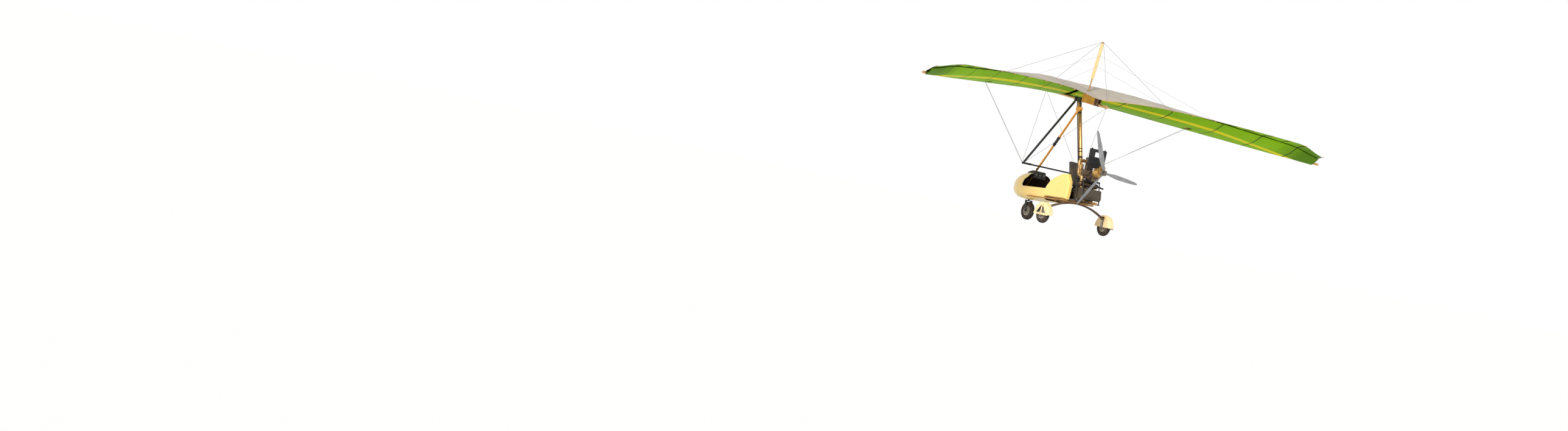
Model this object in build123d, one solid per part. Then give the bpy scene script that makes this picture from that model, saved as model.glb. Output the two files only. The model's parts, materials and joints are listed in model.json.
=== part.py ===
"""Two-seat flex-wing microlight: an open three-wheeled car with a pusher engine,
hung by one bolt under a kingposted fabric wing.

Millimetres. +X points forward, +Y to the left side, +Z up. The origin is on the
ground under the middle of the machine's length.
"""
import math
import os

from build123d import *

# Places along the machine, from the main axle forward
axle_x = -392.0            # main axle, behind the origin
wheelbase = 1557.0
track = 1557.0

# Wheels
wheel_r = 182.0
tyre_w = 100.0
rim_r = 100.0
rim_w = 84.0
axle_r = 12.0
running_gap = 0.3          # round a pin or shaft that turns

# Base tube, from the nose back to the tail
base_front = (wheelbase + 388.0, 456.0)    # ahead of the main axle, height
base_rear = (-575.0, 590.0)
base_side = 50.0
tube_wall = 3.0
tie_r = 6.0                # hole through each end block, for a rope or a bar
tow_drop = 14.0            # the front hole lies below the tube's middle, clear of the pod

# Mast and front strut
hang_x = 618.0             # hang bolt ahead of the main axle
hang_z = 2500.0
mast_foot = (-112.0, 606.0)
mast_r = 36.0
strut_top = (618.0, 2368.0)
strut_foot = (wheelbase + 323.0, 552.0)
strut_r = 22.0

# Landing gear
bow_top_z = 517.0
bow_end_z = 330.0
bow_half = track / 2 - 78.5
bow_depth = 30.0
bow_width = 64.0
steer_x = wheelbase + 43.0 # steering stem ahead of the main axle
stem_r = 13.0
fork_gap = 60.0            # inner face of each fork leg from the middle

# Wing, in its own frame: x along the keel, z square to it, origin at the hang bolt
keel_up = 4.26             # degrees that the keel points above level
keel_over_bolt = 80.0
keel_r = 28.0
keel_nose = 1244.0
keel_tail = -890.0
half_span = 5056.0
sweep_back = 29.5            # degrees, each leading edge
droop = 1.3                # degrees that each leading edge falls towards its tip
edge_r = 25.0              # leading edge tube
skin = 4.0                 # sail cloth, thicker than life so that it is a solid
root_y = 45.0              # where each sail half starts beside the keel
node_y = 2588.0            # side stays meet the leading edge here

# Trailing edge of the sail: (y, x behind or ahead of the bolt, height, crest share)
TRAILING = [
    (root_y, -640.0, 190.0, 0.135),
    (520.0, -800.0, 250.0, 0.140),
    (1010.0, -1005.0, 305.0, 0.142),
    (1449.0, -1121.0, 328.0, 0.140),
    (1877.0, -1205.0, 335.0, 0.135),
    (2382.0, -1329.0, 338.0, 0.128),
    (2858.0, -1479.0, 339.0, 0.120),
    (3235.0, -1560.0, 332.0, 0.112),
    (3645.0, -1690.0, 324.0, 0.102),
    (4037.0, -1785.0, 312.0, 0.092),
    (4389.0, -1858.0, 285.0, 0.080),
    (4934.0, -1815.0, 143.0, 0.060),
]

# Top of a sail section: (share of chord, share of the crest's height)
UPPER = [(1.0, 0.0), (0.76, 0.50), (0.56, 0.84), (0.38, 1.0), (0.20, 0.90), (0.08, 0.60)]
# Round the leading edge tube: degrees from straight back, over the top
NOSE_ANGLES = (75, 120, 165, 210, 255)
under_flat = 0.34          # share of chord where the lower skin turns up
under_end = 0.64           # share of chord where it ends under the battens
batten_deep = 7.0
batten_half = 2.0          # half its width along the span
batten_gap = 0.9           # under the upper skin
under_gap = 3.2            # between the lower skin's end and the battens, square to the chord
nose_wrap = edge_r + skin + 5.0

# Control frame
apex_x = 120.0             # top of the frame ahead of the bolt, along the keel
bar_half = 716.0
bar_x = 1089.0             # base bar ahead of the main axle
bar_z = 1100.0
frame_r = 15.0
frame_chord = 60.0         # fore and aft, over the downtubes' fairing
stay_r = 2.5
eye_r = 6.0
seat_gap = 0.3             # between a fitting and what it is seated on

# Kingpost
post_foot_x = -166.0
post_lean = 2.8            # degrees back
post_height = 1190.0
post_r = 15.0

# Propeller
prop_x = -640.0            # behind the main axle
prop_z = 1224.0
prop_r = 873.0
blade_count = 3
first_blade = 95.0         # degrees from straight up towards the right


def box(x0, x1, y0, y1, z0, z1):
    """A block between two corners."""
    block = Solid.make_box(x1 - x0, y1 - y0, z1 - z0)
    return block.moved(Location((x0, y0, z0)))


def rod(start, end, radius, wall=0.0):
    """A round bar or tube between two points."""
    a, b = Vector(*start), Vector(*end)
    along = Plane(origin=a, z_dir=b - a)
    bar = Solid.make_cylinder(radius, (b - a).length, along)
    if wall:
        bar = bar - Solid.make_cylinder(radius - wall, (b - a).length, along)
    return bar


def beam(start, end, width, height, wall=0.0):
    """A rectangular bar in the plane y = constant; start and end are (x, y, z)."""
    a, b = Vector(*start), Vector(*end)
    run = b - a
    frame = Plane(origin=a, x_dir=Vector(0, 1, 0), z_dir=run)
    solid = extrude(frame * Rectangle(width, height), run.length)
    if wall:
        solid -= extrude(frame * Rectangle(width - 2 * wall, height - 2 * wall), run.length)
    return solid


def prism(points, y0, y1):
    """A side-view outline of (x, z) points, as thick as y0 to y1."""
    wire = Wire.make_polygon([Vector(x, y0, z) for x, z in points], close=True)
    return Solid.extrude(Face(wire), Vector(0, y1 - y0, 0))


def spin_y(profile, x, y, z):
    """Revolve an outline of (radius, y) points about an axis along Y."""
    wire = Wire.make_polygon([Vector(r, w, 0) for r, w in profile], close=True)
    solid = revolve(Face(wire), Axis((0, 0, 0), (0, 1, 0)), 360)
    return solid.moved(Location((x, y, z)))


def mirrored(shape):
    """The right-hand twin of a left-hand shape."""
    solids = [solid.mirror(Plane.XZ) for solid in shape.solids()]
    return solids[0] if len(solids) == 1 else Compound(children=solids)


def pair(shape):
    """The left piece and its mirror image, as one node of two solids."""
    return Compound(children=[*shape.solids(), *mirrored(shape).solids()])


def group(*shapes):
    solids = [s for shape in shapes for s in shape.solids()]
    return Compound(children=solids)


def ahead(x):
    """A distance ahead of the main axle, as a place in the machine's frame."""
    return axle_x + x


def on_wing(shape):
    """Put a shape made in the wing's frame where the wing hangs."""
    return Location((ahead(hang_x), 0, hang_z), (0, -keel_up, 0)) * shape


def to_wing(x, y, z):
    """A point of the machine's frame in the wing's frame."""
    a = math.radians(keel_up)
    dx, dz = x - ahead(hang_x), z - hang_z
    return (dx * math.cos(a) + dz * math.sin(a), y, dz * math.cos(a) - dx * math.sin(a))


def base_z(x):
    """Middle height of the base tube at a distance ahead of the main axle."""
    share = (x - base_rear[0]) / (base_front[0] - base_rear[0])
    return base_rear[1] + share * (base_front[1] - base_rear[1])


def mast_x(z):
    """Middle of the mast at a height, ahead of the main axle."""
    share = (z - mast_foot[1]) / (hang_z - mast_foot[1])
    return mast_foot[0] + share * (hang_x - mast_foot[0])


def offset_inside(points, depth):
    """Move each corner of an open outline square to the outline, to its right side."""
    inner = []
    for i, (x, z) in enumerate(points):
        before = points[max(i - 1, 0)]
        after = points[min(i + 1, len(points) - 1)]
        normals = []
        for a, b in ((before, (x, z)), ((x, z), after)):
            run = math.hypot(b[0] - a[0], b[1] - a[1])
            if run > 1e-6:
                normals.append(((b[1] - a[1]) / run, -(b[0] - a[0]) / run))
        nx = sum(n[0] for n in normals) / len(normals)
        nz = sum(n[1] for n in normals) / len(normals)
        square = nx * nx + nz * nz
        inner.append((x + depth * nx / square, z + depth * nz / square))
    return inner


def edge_at(y):
    """Middle of the leading edge tube at a distance y out from the keel."""
    back = abs(y) * math.tan(math.radians(sweep_back))
    fall = abs(y) * math.tan(math.radians(droop))
    return keel_nose - back, keel_over_bolt - fall


def sail_outline(station):
    """Outer side of a sail section, from the trailing edge over the nose and under."""
    y, tail_x, tail_z, crest = station
    nose_x, nose_z = edge_at(y)
    chord = math.hypot(nose_x - tail_x, tail_z - nose_z)
    back = ((tail_x - nose_x) / chord, (tail_z - nose_z) / chord)
    up = (back[1], -back[0])

    def place(share, height):
        x = nose_x + share * chord * back[0] + height * up[0]
        z = nose_z + share * chord * back[1] + height * up[1]
        return x, z

    wrap = min(nose_wrap, 0.16 * chord)
    outline = [place(t, max(crest * chord * h, 1.03 * wrap * math.sqrt(1 - t))) for t, h in UPPER]
    longer = 1 / math.cos(math.radians(sweep_back))
    for degrees in NOSE_ANGLES:
        a = math.radians(degrees)
        outline.append(place(wrap * longer * math.cos(a) / chord, wrap * math.sin(a)))
    top_end = crest * chord * 0.70
    outline.append(place(under_flat, -0.6 * wrap - 0.008 * chord))
    outline.append(place(under_end, top_end - 2 * skin - batten_deep - under_gap))
    return outline


def sail_half():
    """One half of the sail: an upper skin, wrapped round the leading edge and back
    underneath as far as the middle of the chord."""
    wires = []
    for station in TRAILING:
        outer = sail_outline(station)
        inner = offset_inside(outer, skin)
        ring = outer + inner[::-1]
        wires.append(Wire.make_polygon([Vector(x, station[0], z) for x, z in ring], close=True))
    cloth = Solid.make_loft(wires, ruled=True)
    edge_x, edge_z = edge_at(node_y)
    hole = box(edge_x - 210, edge_x - 34, node_y - 120, node_y + 40, edge_z - 150, edge_z + 12)
    plates = box(keel_nose - 310, keel_nose + 160, 0, 196, 0, keel_over_bolt + keel_r + 10)
    hole += box(edge_x - 40, edge_x + 4, node_y - 120, node_y + 40, edge_z - 150, edge_z - 4)
    return cloth - hole - plates


def root_top(depth):
    """Upper side of the sail at its root, moved inside by a depth."""
    outline = sail_outline(TRAILING[0])[:len(UPPER)]
    return offset_inside(outline, depth)


def root_strip():
    """The middle panel that joins the two halves over the keel."""
    band = root_top(0.0) + root_top(skin)[::-1]
    strip = prism(band, -root_y + seat_gap, root_y - seat_gap)
    foot = Vector(post_foot_x, 0, keel_over_bolt + keel_r)
    lean = math.radians(post_lean)
    way = Vector(-math.sin(lean), 0, math.cos(lean))
    return strip - rod(foot, foot + way * 600, post_r + 12)


def keel_pocket():
    """The cloth box between the keel and the sail, over the rear of the keel."""
    tail_x = TRAILING[0][1]
    front_x = -76.0
    under = [p for p in root_top(skin + seat_gap) if tail_x < p[0] < front_x]
    low = keel_over_bolt - keel_r - 6
    first, last = root_top(skin + seat_gap)[0], under[-1]
    outline = [(tail_x + 20, low + 14)] + [(first[0] + 20, first[1] - 1)] + under
    outline += [(front_x, last[1]), (front_x, low)]
    outer = prism(outline, -keel_r - 6, keel_r + 6)
    inner = box(-2000, 2000, -keel_r - 0.8, keel_r + 0.8, low + 5.2, 900)
    return outer - inner


def battens(side):
    """Flat battens under the upper skin, each with a tip behind the sail."""
    bars = []
    for station in TRAILING[1:]:
        outline = sail_outline(station)[:len(UPPER)]
        tail, nxt = outline[0], outline[1]
        run = math.hypot(tail[0] - nxt[0], tail[1] - nxt[1])
        way = ((tail[0] - nxt[0]) / run, (tail[1] - nxt[1]) / run)
        longer = [(tail[0] + 55 * way[0], tail[1] + 55 * way[1])] + outline[1:]
        depth = skin + batten_gap
        band = offset_inside(longer, depth) + offset_inside(longer, depth + batten_deep)[::-1]
        bars.append(prism(band, station[0] - batten_half, station[0] + batten_half))
    left = group(*bars)
    return left if side > 0 else mirrored(left)


def leading_edge():
    """Tapered-off tube from the nose plates out to the tip, with its end cap."""
    start_y, end_y = 62.0, half_span - 12
    x0, z0 = edge_at(start_y)
    x1, z1 = edge_at(end_y)
    tube = rod((x0, start_y, z0), (x1, end_y, z1), edge_r, 2.5)
    way = (Vector(x1, end_y, z1) - Vector(x0, start_y, z0)).normalized()
    end = Vector(x1, end_y, z1)
    return tube + rod(end - way * 30, end + way * 10, edge_r - 2.5) + rod(end, end + way * 10, edge_r)


def keel_tube():
    """Keel with the two collars that keep the hang block in its place."""
    tube = rod((keel_tail, 0, keel_over_bolt), (keel_nose, 0, keel_over_bolt), keel_r, tube_wall)
    for x0, x1 in ((-68, -52), (52, 68)):
        ring = rod((x0, 0, keel_over_bolt), (x1, 0, keel_over_bolt), keel_r + 8)
        tube += ring - rod((x0, 0, keel_over_bolt), (x1, 0, keel_over_bolt), keel_r - 1)
    for x0, x1, r in ((keel_tail - 8, keel_tail, keel_r + 2), (keel_nose, keel_nose + 8, keel_r)):
        tube += rod((x0, 0, keel_over_bolt), (x1, 0, keel_over_bolt), r)
    return tube


def nose_plates():
    """Two plates that clamp the keel and both leading edges at the nose."""
    far = keel_nose - 190
    wide = 190 / math.tan(math.radians(sweep_back)) * 0.52
    outline = [(keel_nose + 34, -30), (keel_nose + 34, 30), (far + 90, wide), (far, wide * 0.72),
               (far, -wide * 0.72), (far + 90, -wide)]
    plates = []
    for z in (keel_over_bolt + keel_r + seat_gap, keel_over_bolt - keel_r - 6.2):
        wire = Wire.make_polygon([Vector(x, y, z) for x, y in outline], close=True)
        plates.append(Solid.extrude(Face(wire), Vector(0, 0, 5)))
    post = box(keel_nose + 12, keel_nose + 32, -12, 12,
               keel_over_bolt - keel_r - 2, keel_over_bolt + keel_r + 1)
    return plates[0] + plates[1] + post


def post_seat():
    """Foot of the kingpost, just clear of the keel although the post leans."""
    tilt = (post_r + 5) * math.sin(math.radians(post_lean))
    return Vector(post_foot_x, 0, keel_over_bolt + keel_r + seat_gap + tilt)


def post_axis():
    lean = math.radians(post_lean)
    return Vector(-math.sin(lean), 0, math.cos(lean))


def kingpost():
    """Round post from its foot on the keel to the cap that takes the upper stays."""
    foot = post_seat()
    way = post_axis()
    tube = rod(foot + way * 6, foot + way * post_height, post_r, 2.0)
    socket = rod(foot, foot + way * 45, post_r + 5) - rod(foot + way * 6, foot + way * 45, post_r - 1)
    cap = rod(foot + way * (post_height - 10), foot + way * (post_height + 14), post_r + 7)
    return tube + socket + cap


def kingpost_fairing():
    """Streamlined sleeve over the upper part of the kingpost."""
    foot = post_seat()
    way = post_axis()
    start = foot + way * 440
    length = post_height - 440 - 30
    frame = Plane(origin=start, x_dir=Vector(0, 1, 0), z_dir=way)
    outer = frame * Ellipse(24.0, 44.0)
    sleeve = extrude(outer, length)
    return sleeve - rod(start, start + way * length, post_r + seat_gap)


def corner():
    """Left lower corner of the control frame, in the wing's frame."""
    return Vector(*to_wing(ahead(bar_x), bar_half, bar_z))


def apex_bracket():
    """Clamp under the keel that carries the tops of both downtubes."""
    low = keel_over_bolt - keel_r - 26
    block = box(apex_x - 28, apex_x + 28, -48, 48, low, keel_over_bolt + keel_r + 12)
    block -= rod((apex_x - 40, 0, keel_over_bolt), (apex_x + 40, 0, keel_over_bolt), keel_r + seat_gap)
    top = Vector(apex_x, 34, low)
    way = (corner() - top).normalized()
    plug = rod(top - way * 4, top + way * 60, frame_r - 2.5 - seat_gap)
    return block + plug + mirrored(plug)


def downtubes():
    """Faired downtubes, hollow, from the apex bracket to the corners."""
    low = keel_over_bolt - keel_r - 26
    top = Vector(apex_x, 34, low)
    way = (corner() - top).normalized()
    start, end = top + way * 10, corner() - way * 34
    frame = Plane(origin=start, x_dir=Vector(way.Z, 0, -way.X), z_dir=way)
    outer = extrude(frame * Ellipse(frame_chord / 2, frame_r), (end - start).length)
    return pair(outer - rod(start - way, end + way, frame_r - 2.5))


def base_bar():
    """Straight bar with a block at each end that plugs into its downtube."""
    c = corner()
    tube = rod((c.X, -c.Y + 5, c.Z), (c.X, c.Y - 5, c.Z), frame_r)
    low = keel_over_bolt - keel_r - 26
    way = (corner() - Vector(apex_x, 34, low)).normalized()
    block = box(c.X - 22, c.X + 22, c.Y - 16, c.Y + 20, c.Z - 20, c.Z + 20)
    plug = rod(c - way * 60, c, frame_r - 2.5 - seat_gap)
    shoulder = rod(c - way * 33.7, c, frame_r + 2)
    sleeve = rod((c.X, c.Y - 172, c.Z), (c.X, c.Y, c.Z), frame_r + 4)
    end = block + plug + shoulder + sleeve
    grip = rod((c.X, c.Y - 190, c.Z), (c.X, c.Y - 172, c.Z), frame_r + 7)
    return tube + end + mirrored(end) + grip + mirrored(grip)


def stay(start, end):
    """A taut wire with a round eye at each end."""
    a, b = Vector(*start), Vector(*end)
    wire = rod(a, b, stay_r)
    for point in (a, b):
        wire += Solid.make_sphere(eye_r).moved(Location(point))
    return wire


def lower_stays():
    """Side, front and rear stays from the wing down to the corners of the base bar."""
    c = corner()
    reach = eye_r + seat_gap
    turn = math.radians(sweep_back)
    wires = []
    for step in (-11, 11):
        edge_x, edge_z = edge_at(node_y + step)
        away = (edge_r + reach) * 0.8
        top = (edge_x - away * math.cos(turn), node_y + step - away * math.sin(turn), edge_z - (edge_r + reach) * 0.6)
        wires.append(stay((c.X + step, c.Y + 20 + reach, c.Z + 6), top))
    under = keel_over_bolt - keel_r - reach
    wires.append(stay((c.X + 22 + reach, c.Y + 8, c.Z + 6), (keel_nose - 60, 12, under - 6.3)))
    wires.append(stay((c.X - 22 - reach, c.Y + 8, c.Z + 6), (keel_tail + 20, 8, under + 1.0)))
    left = group(*wires)
    return group(left, mirrored(left))


def upper_stays():
    """Stays from the kingpost's cap to the nose, the tail and both leading edges."""
    foot = post_seat()
    cap = foot + post_axis() * (post_height + 2)
    out = post_r + 7 + eye_r + seat_gap
    over_nose = keel_over_bolt + keel_r + seat_gap + 5 + eye_r + seat_gap
    over_tail = keel_over_bolt + keel_r + 2.0 + eye_r + seat_gap
    front = stay(cap + Vector(out, 0, 0), (keel_nose + 20, 0, over_nose))
    rear = stay(cap + Vector(-out, 0, 0), (keel_tail - 4, 0, over_tail))
    station = TRAILING[5]
    x, z = sail_outline(station)[len(UPPER) - 1]
    side = stay(cap + Vector(0, out, 0), (x, station[0], z + eye_r + 1.5))
    return group(front, rear, side, mirrored(side))


def hang_block():
    """Block that turns on the keel, with the tongue that hangs on the mast's bolt."""
    top = keel_over_bolt + keel_r + 16
    block = box(-51, 51, -46, 46, 36, top)
    block -= rod((-60, 0, keel_over_bolt), (60, 0, keel_over_bolt), keel_r + running_gap)
    tongue = box(-24, 24, -21.5, 21.5, 0, 37) + rod((0, -21.5, 0), (0, 21.5, 0), 24)
    tongue -= rod((0, -30, 0), (0, 30, 0), 8 + running_gap)
    return block + tongue


# Frame of the car
def base_tube():
    """Sloping backbone with the steering head, the strut's ears and the mast's foot."""
    front = (ahead(base_front[0]), 0, base_front[1])
    rear = (ahead(base_rear[0]), 0, base_rear[1])
    tube = beam(rear, front, base_side, base_side, tube_wall)
    for x0, x1 in ((base_rear[0] - 14, base_rear[0] + 8), (base_front[0] - 3, base_front[0] + 19)):
        tube += beam((ahead(x0), 0, base_z(x0)), (ahead(x1), 0, base_z(x1)),
                     base_side + 6, base_side + 6)
    z = base_z(steer_x)
    head = rod((ahead(steer_x), 0, z - 48), (ahead(steer_x), 0, z + 38), stem_r + 8)
    tube += head
    for x in (740.0, 1420.0):
        foot = box(ahead(x), ahead(x + 40), -22, 22, 380, base_z(x + 40))
        tube += foot & pod_room().moved(Location((0, 0, seat_gap)))
    for x, drop in ((base_rear[0] - 3, 0.0), (base_front[0] + 8, tow_drop)):
        tie_z = base_z(x) - drop
        tube -= rod((ahead(x), -40, tie_z), (ahead(x), 40, tie_z), tie_r)
    tube -= rod((ahead(steer_x), 0, z - 60), (ahead(steer_x), 0, z + 60), stem_r + running_gap)
    return tube


def mast_way():
    run = Vector(hang_x - mast_foot[0], 0, hang_z - mast_foot[1])
    return run.normalized()


def mast():
    """Mast with the shoe that seats it on the base tube."""
    bolt = Vector(ahead(hang_x), 0, hang_z)
    foot = Vector(ahead(mast_foot[0]), 0, mast_foot[1])
    tube = rod(foot + mast_way() * 14, bolt - mast_way() * 62, mast_r, tube_wall)
    low = base_z(mast_foot[0]) + base_side / 2
    shoe = box(foot.X - 46, foot.X + 56, -mast_r - 4, mast_r + 4, low - 60, low + 36)
    along = beam((foot.X - 400, 0, base_z(mast_foot[0] - 400)),
                 (foot.X + 400, 0, base_z(mast_foot[0] + 400)),
                 base_side + 2 * seat_gap, base_side + 2 * seat_gap)
    shoe -= along
    shoe -= rod(foot + mast_way() * -80, foot + mast_way() * 200, mast_r - tube_wall)
    return tube + shoe


def mast_head():
    """Two cheeks and the hang bolt on top of the mast."""
    bolt = Vector(ahead(hang_x), 0, hang_z)
    way = mast_way()
    frame = Plane(origin=bolt, x_dir=Vector(way.Z, 0, -way.X), z_dir=way)
    base = extrude(frame.offset(-62 + seat_gap) * Circle(mast_r), 14)
    head = base
    for y0, y1 in ((22, 30), (-30, -22)):
        cheek = rod((bolt.X, y0, bolt.Z), (bolt.X, y1, bolt.Z), 28)
        plate = extrude(frame.offset(-62 + seat_gap) * Pos(0, (y0 + y1) / 2) * Rectangle(50, y1 - y0), 62)
        head += cheek + plate
    pin = rod((bolt.X, -40, bolt.Z), (bolt.X, 40, bolt.Z), 8)
    for y0, y1 in ((30, 42), (-42, -30)):
        pin += rod((bolt.X, y0, bolt.Z), (bolt.X, y1, bolt.Z), 14)
    return head + pin


def strut_way():
    run = Vector(strut_foot[0] - strut_top[0], 0, strut_foot[1] - strut_top[1])
    return run.normalized()


def front_strut():
    """Strut from the mast's head down to the nose, with a fork at each end."""
    top = Vector(ahead(strut_top[0]), 0, strut_top[1])
    foot = Vector(ahead(strut_foot[0]), 0, strut_foot[1])
    tube = rod(top, foot, strut_r, tube_wall)
    ear_z = base_z(strut_foot[0]) + base_side / 2
    ears = []
    for y0, y1 in ((base_side / 2 + seat_gap, base_side / 2 + 6), (-base_side / 2 - 6, -base_side / 2 - seat_gap)):
        ears.append(prism([(foot.X - 30, foot.Z + 6), (foot.X + 26, foot.Z + 6),
                           (foot.X + 46, ear_z - 42), (foot.X + 2, ear_z - 42)], y0, y1))
    saddle = box(foot.X - 30, foot.X + 26, -31, 31, foot.Z, foot.Z + 8)
    clamp_z = top.Z + 30
    clamp = box(ahead(mast_x(clamp_z)) - 44, top.X + 34, -40, 40, top.Z - 14, clamp_z + 34)
    bolt = Vector(ahead(hang_x), 0, hang_z)
    low = Vector(ahead(mast_foot[0]), 0, mast_foot[1])
    clamp &= box(-9000, 9000, -40, 40, 0, hang_z - 64)
    whole = tube + saddle + ears[0] + ears[1] + clamp
    return whole - rod(low, bolt, mast_r + seat_gap)


def strut_sleeve():
    """Joint sleeve round the middle of the front strut."""
    top = Vector(ahead(strut_top[0]), 0, strut_top[1])
    start = top + strut_way() * 740
    end = start + strut_way() * 225
    sleeve = rod(start, end, strut_r + 7)
    for share in (0.18, 0.82):
        middle = start + (end - start) * share
        sleeve += rod(middle - strut_way() * 9, middle + strut_way() * 9, strut_r + 11)
    return sleeve - rod(start, end, strut_r + seat_gap)


def side_rails():
    """Tubes along both lower edges, with their cross tubes and rear foot pegs."""
    y = 332.0
    rear, front = (-90.0, 545.0), (1240.0, 480.0)
    rail = rod((ahead(rear[0]), y, rear[1]), (ahead(front[0]), y, front[1]), 13)
    rail += Solid.make_sphere(13).moved(Location((ahead(front[0]), y, front[1])))
    rail += rod((ahead(1010), y, 491), (ahead(1010), y + 86, 491), 12)
    for x in (80.0, 640.0):
        share = (x - rear[0]) / (front[0] - rear[0])
        z = rear[1] + share * (front[1] - rear[1])
        rail += rod((ahead(x), base_side / 2 + seat_gap, z), (ahead(x), y, z), 11)
        under_panel = 566 - (x + 47) * 21 / 709
        rail += box(ahead(x - 6), ahead(x + 6), y - 40, y - 4, z, under_panel - 0.5)
    return pair(rail)


# Body shell
POD = [
    # ahead of the main axle, half width, bottom, top, corner radius
    (2096.0, 26.0, 575.0, 640.0, 24.0),
    (2030.0, 120.0, 498.0, 752.0, 100.0),
    (1880.0, 215.0, 440.0, 850.0, 150.0),
    (1660.0, 278.0, 412.0, 925.0, 170.0),
    (1380.0, 304.0, 414.0, 940.0, 150.0),
    (690.0, 300.0, 446.0, 900.0, 110.0),
]
shell = 5.0


def pod_section(row, inset):
    x, half, low, high, corner_r = row
    frame = Plane(origin=(ahead(x), 0, (low + high) / 2), x_dir=(0, 1, 0), z_dir=(1, 0, 0))
    shape = RectangleRounded(2 * (half - inset), high - low - 2 * inset, max(corner_r - inset, 4))
    return (frame * shape).wire()


def pod_room():
    """The room inside the nose shell."""
    room = Solid.make_loft([pod_section(row, shell) for row in POD])
    return room & box(ahead(0), ahead(POD[0][0]) - 9, -900, 900, 0, 2000)


def pod_fairing():
    """Open nose shell: a lofted skin with the cockpit cut from its top."""
    outer = Solid.make_loft([pod_section(row, 0) for row in POD])
    skin_shell = outer - pod_room()
    cockpit = prism([(ahead(660), 700), (ahead(1200), 672), (ahead(1500), 655), (ahead(1540), 690),
                     (ahead(1495), 784), (ahead(1400), 860), (ahead(1400), 1300), (ahead(660), 1300)],
                    -900, 900)
    skin_shell -= cockpit
    skin_shell -= box(ahead(600), ahead(709), -400, 400, 300, 1300)
    skin_shell -= box(ahead(1394.7), ahead(1640.3), -150.3, 150.3, 700, 1300)
    slot_z = base_z(1800)
    skin_shell -= box(ahead(1690), ahead(1980), -36, 36, 380, slot_z + 36)
    skin_shell -= rod((ahead(steer_x), 0, 380), (ahead(steer_x), 0, 520), 40)
    strut_line = Vector(ahead(strut_top[0]), 0, strut_top[1])
    skin_shell -= rod(strut_line, Vector(ahead(strut_foot[0]), 0, strut_foot[1]), strut_r + 12)
    return skin_shell


def instrument_panel():
    """Dials in a hooded block on the cowl's rear lip, with the control knob on top."""
    hood = prism([(ahead(1395), 858), (ahead(1425), 992), (ahead(1470), 1004), (ahead(1600), 962),
                  (ahead(1640), 926), (ahead(1600), 880), (ahead(1500), 868)], -150, 150)
    strut_line = Vector(ahead(strut_top[0]), 0, strut_top[1])
    hood -= rod(strut_line, Vector(ahead(strut_foot[0]), 0, strut_foot[1]), strut_r + 8)
    for y, z, r in ((-95, 925, 34), (0, 925, 30), (95, 925, 34)):
        back = ahead(1395) + (z - 858) * 30 / 134
        ring = rod((back - 8, y, z), (back + 12, y, z), r)
        hood += ring - rod((back - 8, y, z), (back - 3, y, z), r - 4)
    knob = rod((ahead(1455), 70, 990), (ahead(1455), 70, 1050), 8)
    knob += rod((ahead(1455), 70, 1040), (ahead(1455), 70, 1060), 20)
    return hood + knob


PANEL = [(662, 545), (704, 635), (675, 751), (592, 866), (388, 985), (214, 1057), (58, 1063),
         (-50, 921), (-62, 811), (-64, 676), (-47, 566)]


PANEL_MIDDLE = (300.0, 780.0)      # ahead of the main axle, height


def side_panel():
    """Moulded fairing beside the seats: a dished skin with a chamfered top edge."""
    middle = PANEL_MIDDLE

    def ring(y, inset):
        points = []
        for x, z in PANEL:
            run = math.hypot(x - middle[0], z - middle[1])
            share = 1 - inset / run
            points.append(Vector(ahead(middle[0] + (x - middle[0]) * share), y,
                                 middle[1] + (z - middle[1]) * share))
        return Wire.make_polygon(points, close=True)

    outer = Solid.make_loft([ring(262, 0), ring(330, 0), ring(352, 34)], ruled=True)
    inner = Solid.make_loft([ring(255, 5), ring(328, 5), ring(347, 37)], ruled=True)
    return outer - inner


def gear_bow():
    """Curved leaf that carries both main wheels, clamped under the base tube."""
    rise = bow_top_z - bow_end_z
    radius = (bow_half ** 2 + rise ** 2) / (2 * rise)
    z = bow_top_z - radius
    half = bow_width / 2
    leaf = rod((ahead(-half), 0, z), (ahead(half), 0, z), radius + bow_depth / 2)
    leaf -= rod((ahead(-half), 0, z), (ahead(half), 0, z), radius - bow_depth / 2)
    leaf &= box(ahead(-half), ahead(half), -bow_half, bow_half, bow_end_z - 80, bow_top_z + 60)
    low = base_z(0) - base_side / 2
    saddle = box(ahead(-half - 8), ahead(half + 8), -46, 46, bow_top_z - 4, low - 0.5)
    saddle -= beam((ahead(-300), 0, base_z(-300)), (ahead(300), 0, base_z(300)),
                   base_side + 2 * seat_gap, base_side + 2 * seat_gap)
    return leaf + saddle


def stub_axle():
    """Left leg plate at the end of the bow, with the axle that it holds."""
    wheel_y = track / 2
    inner_y = wheel_y - tyre_w / 2 - 24
    plate = prism([(ahead(-34), 300), (ahead(34), 300), (ahead(26), 165), (ahead(-26), 165)],
                  inner_y, inner_y + 10)
    clamp = box(ahead(-36), ahead(36), bow_half + seat_gap, inner_y + 10, 292, 356)
    axle = rod((ahead(0), inner_y, wheel_r), (ahead(0), wheel_y + tyre_w / 2 + 28, wheel_r), axle_r)
    collar = rod((ahead(0), inner_y + 10, wheel_r), (ahead(0), wheel_y - rim_w / 2 - 1, wheel_r), axle_r + 8)
    nut = rod((ahead(0), wheel_y + rim_w / 2 + 1, wheel_r),
              (ahead(0), wheel_y + tyre_w / 2 + 1.6, wheel_r), axle_r + 6)
    return plate + clamp + axle + collar + nut


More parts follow.
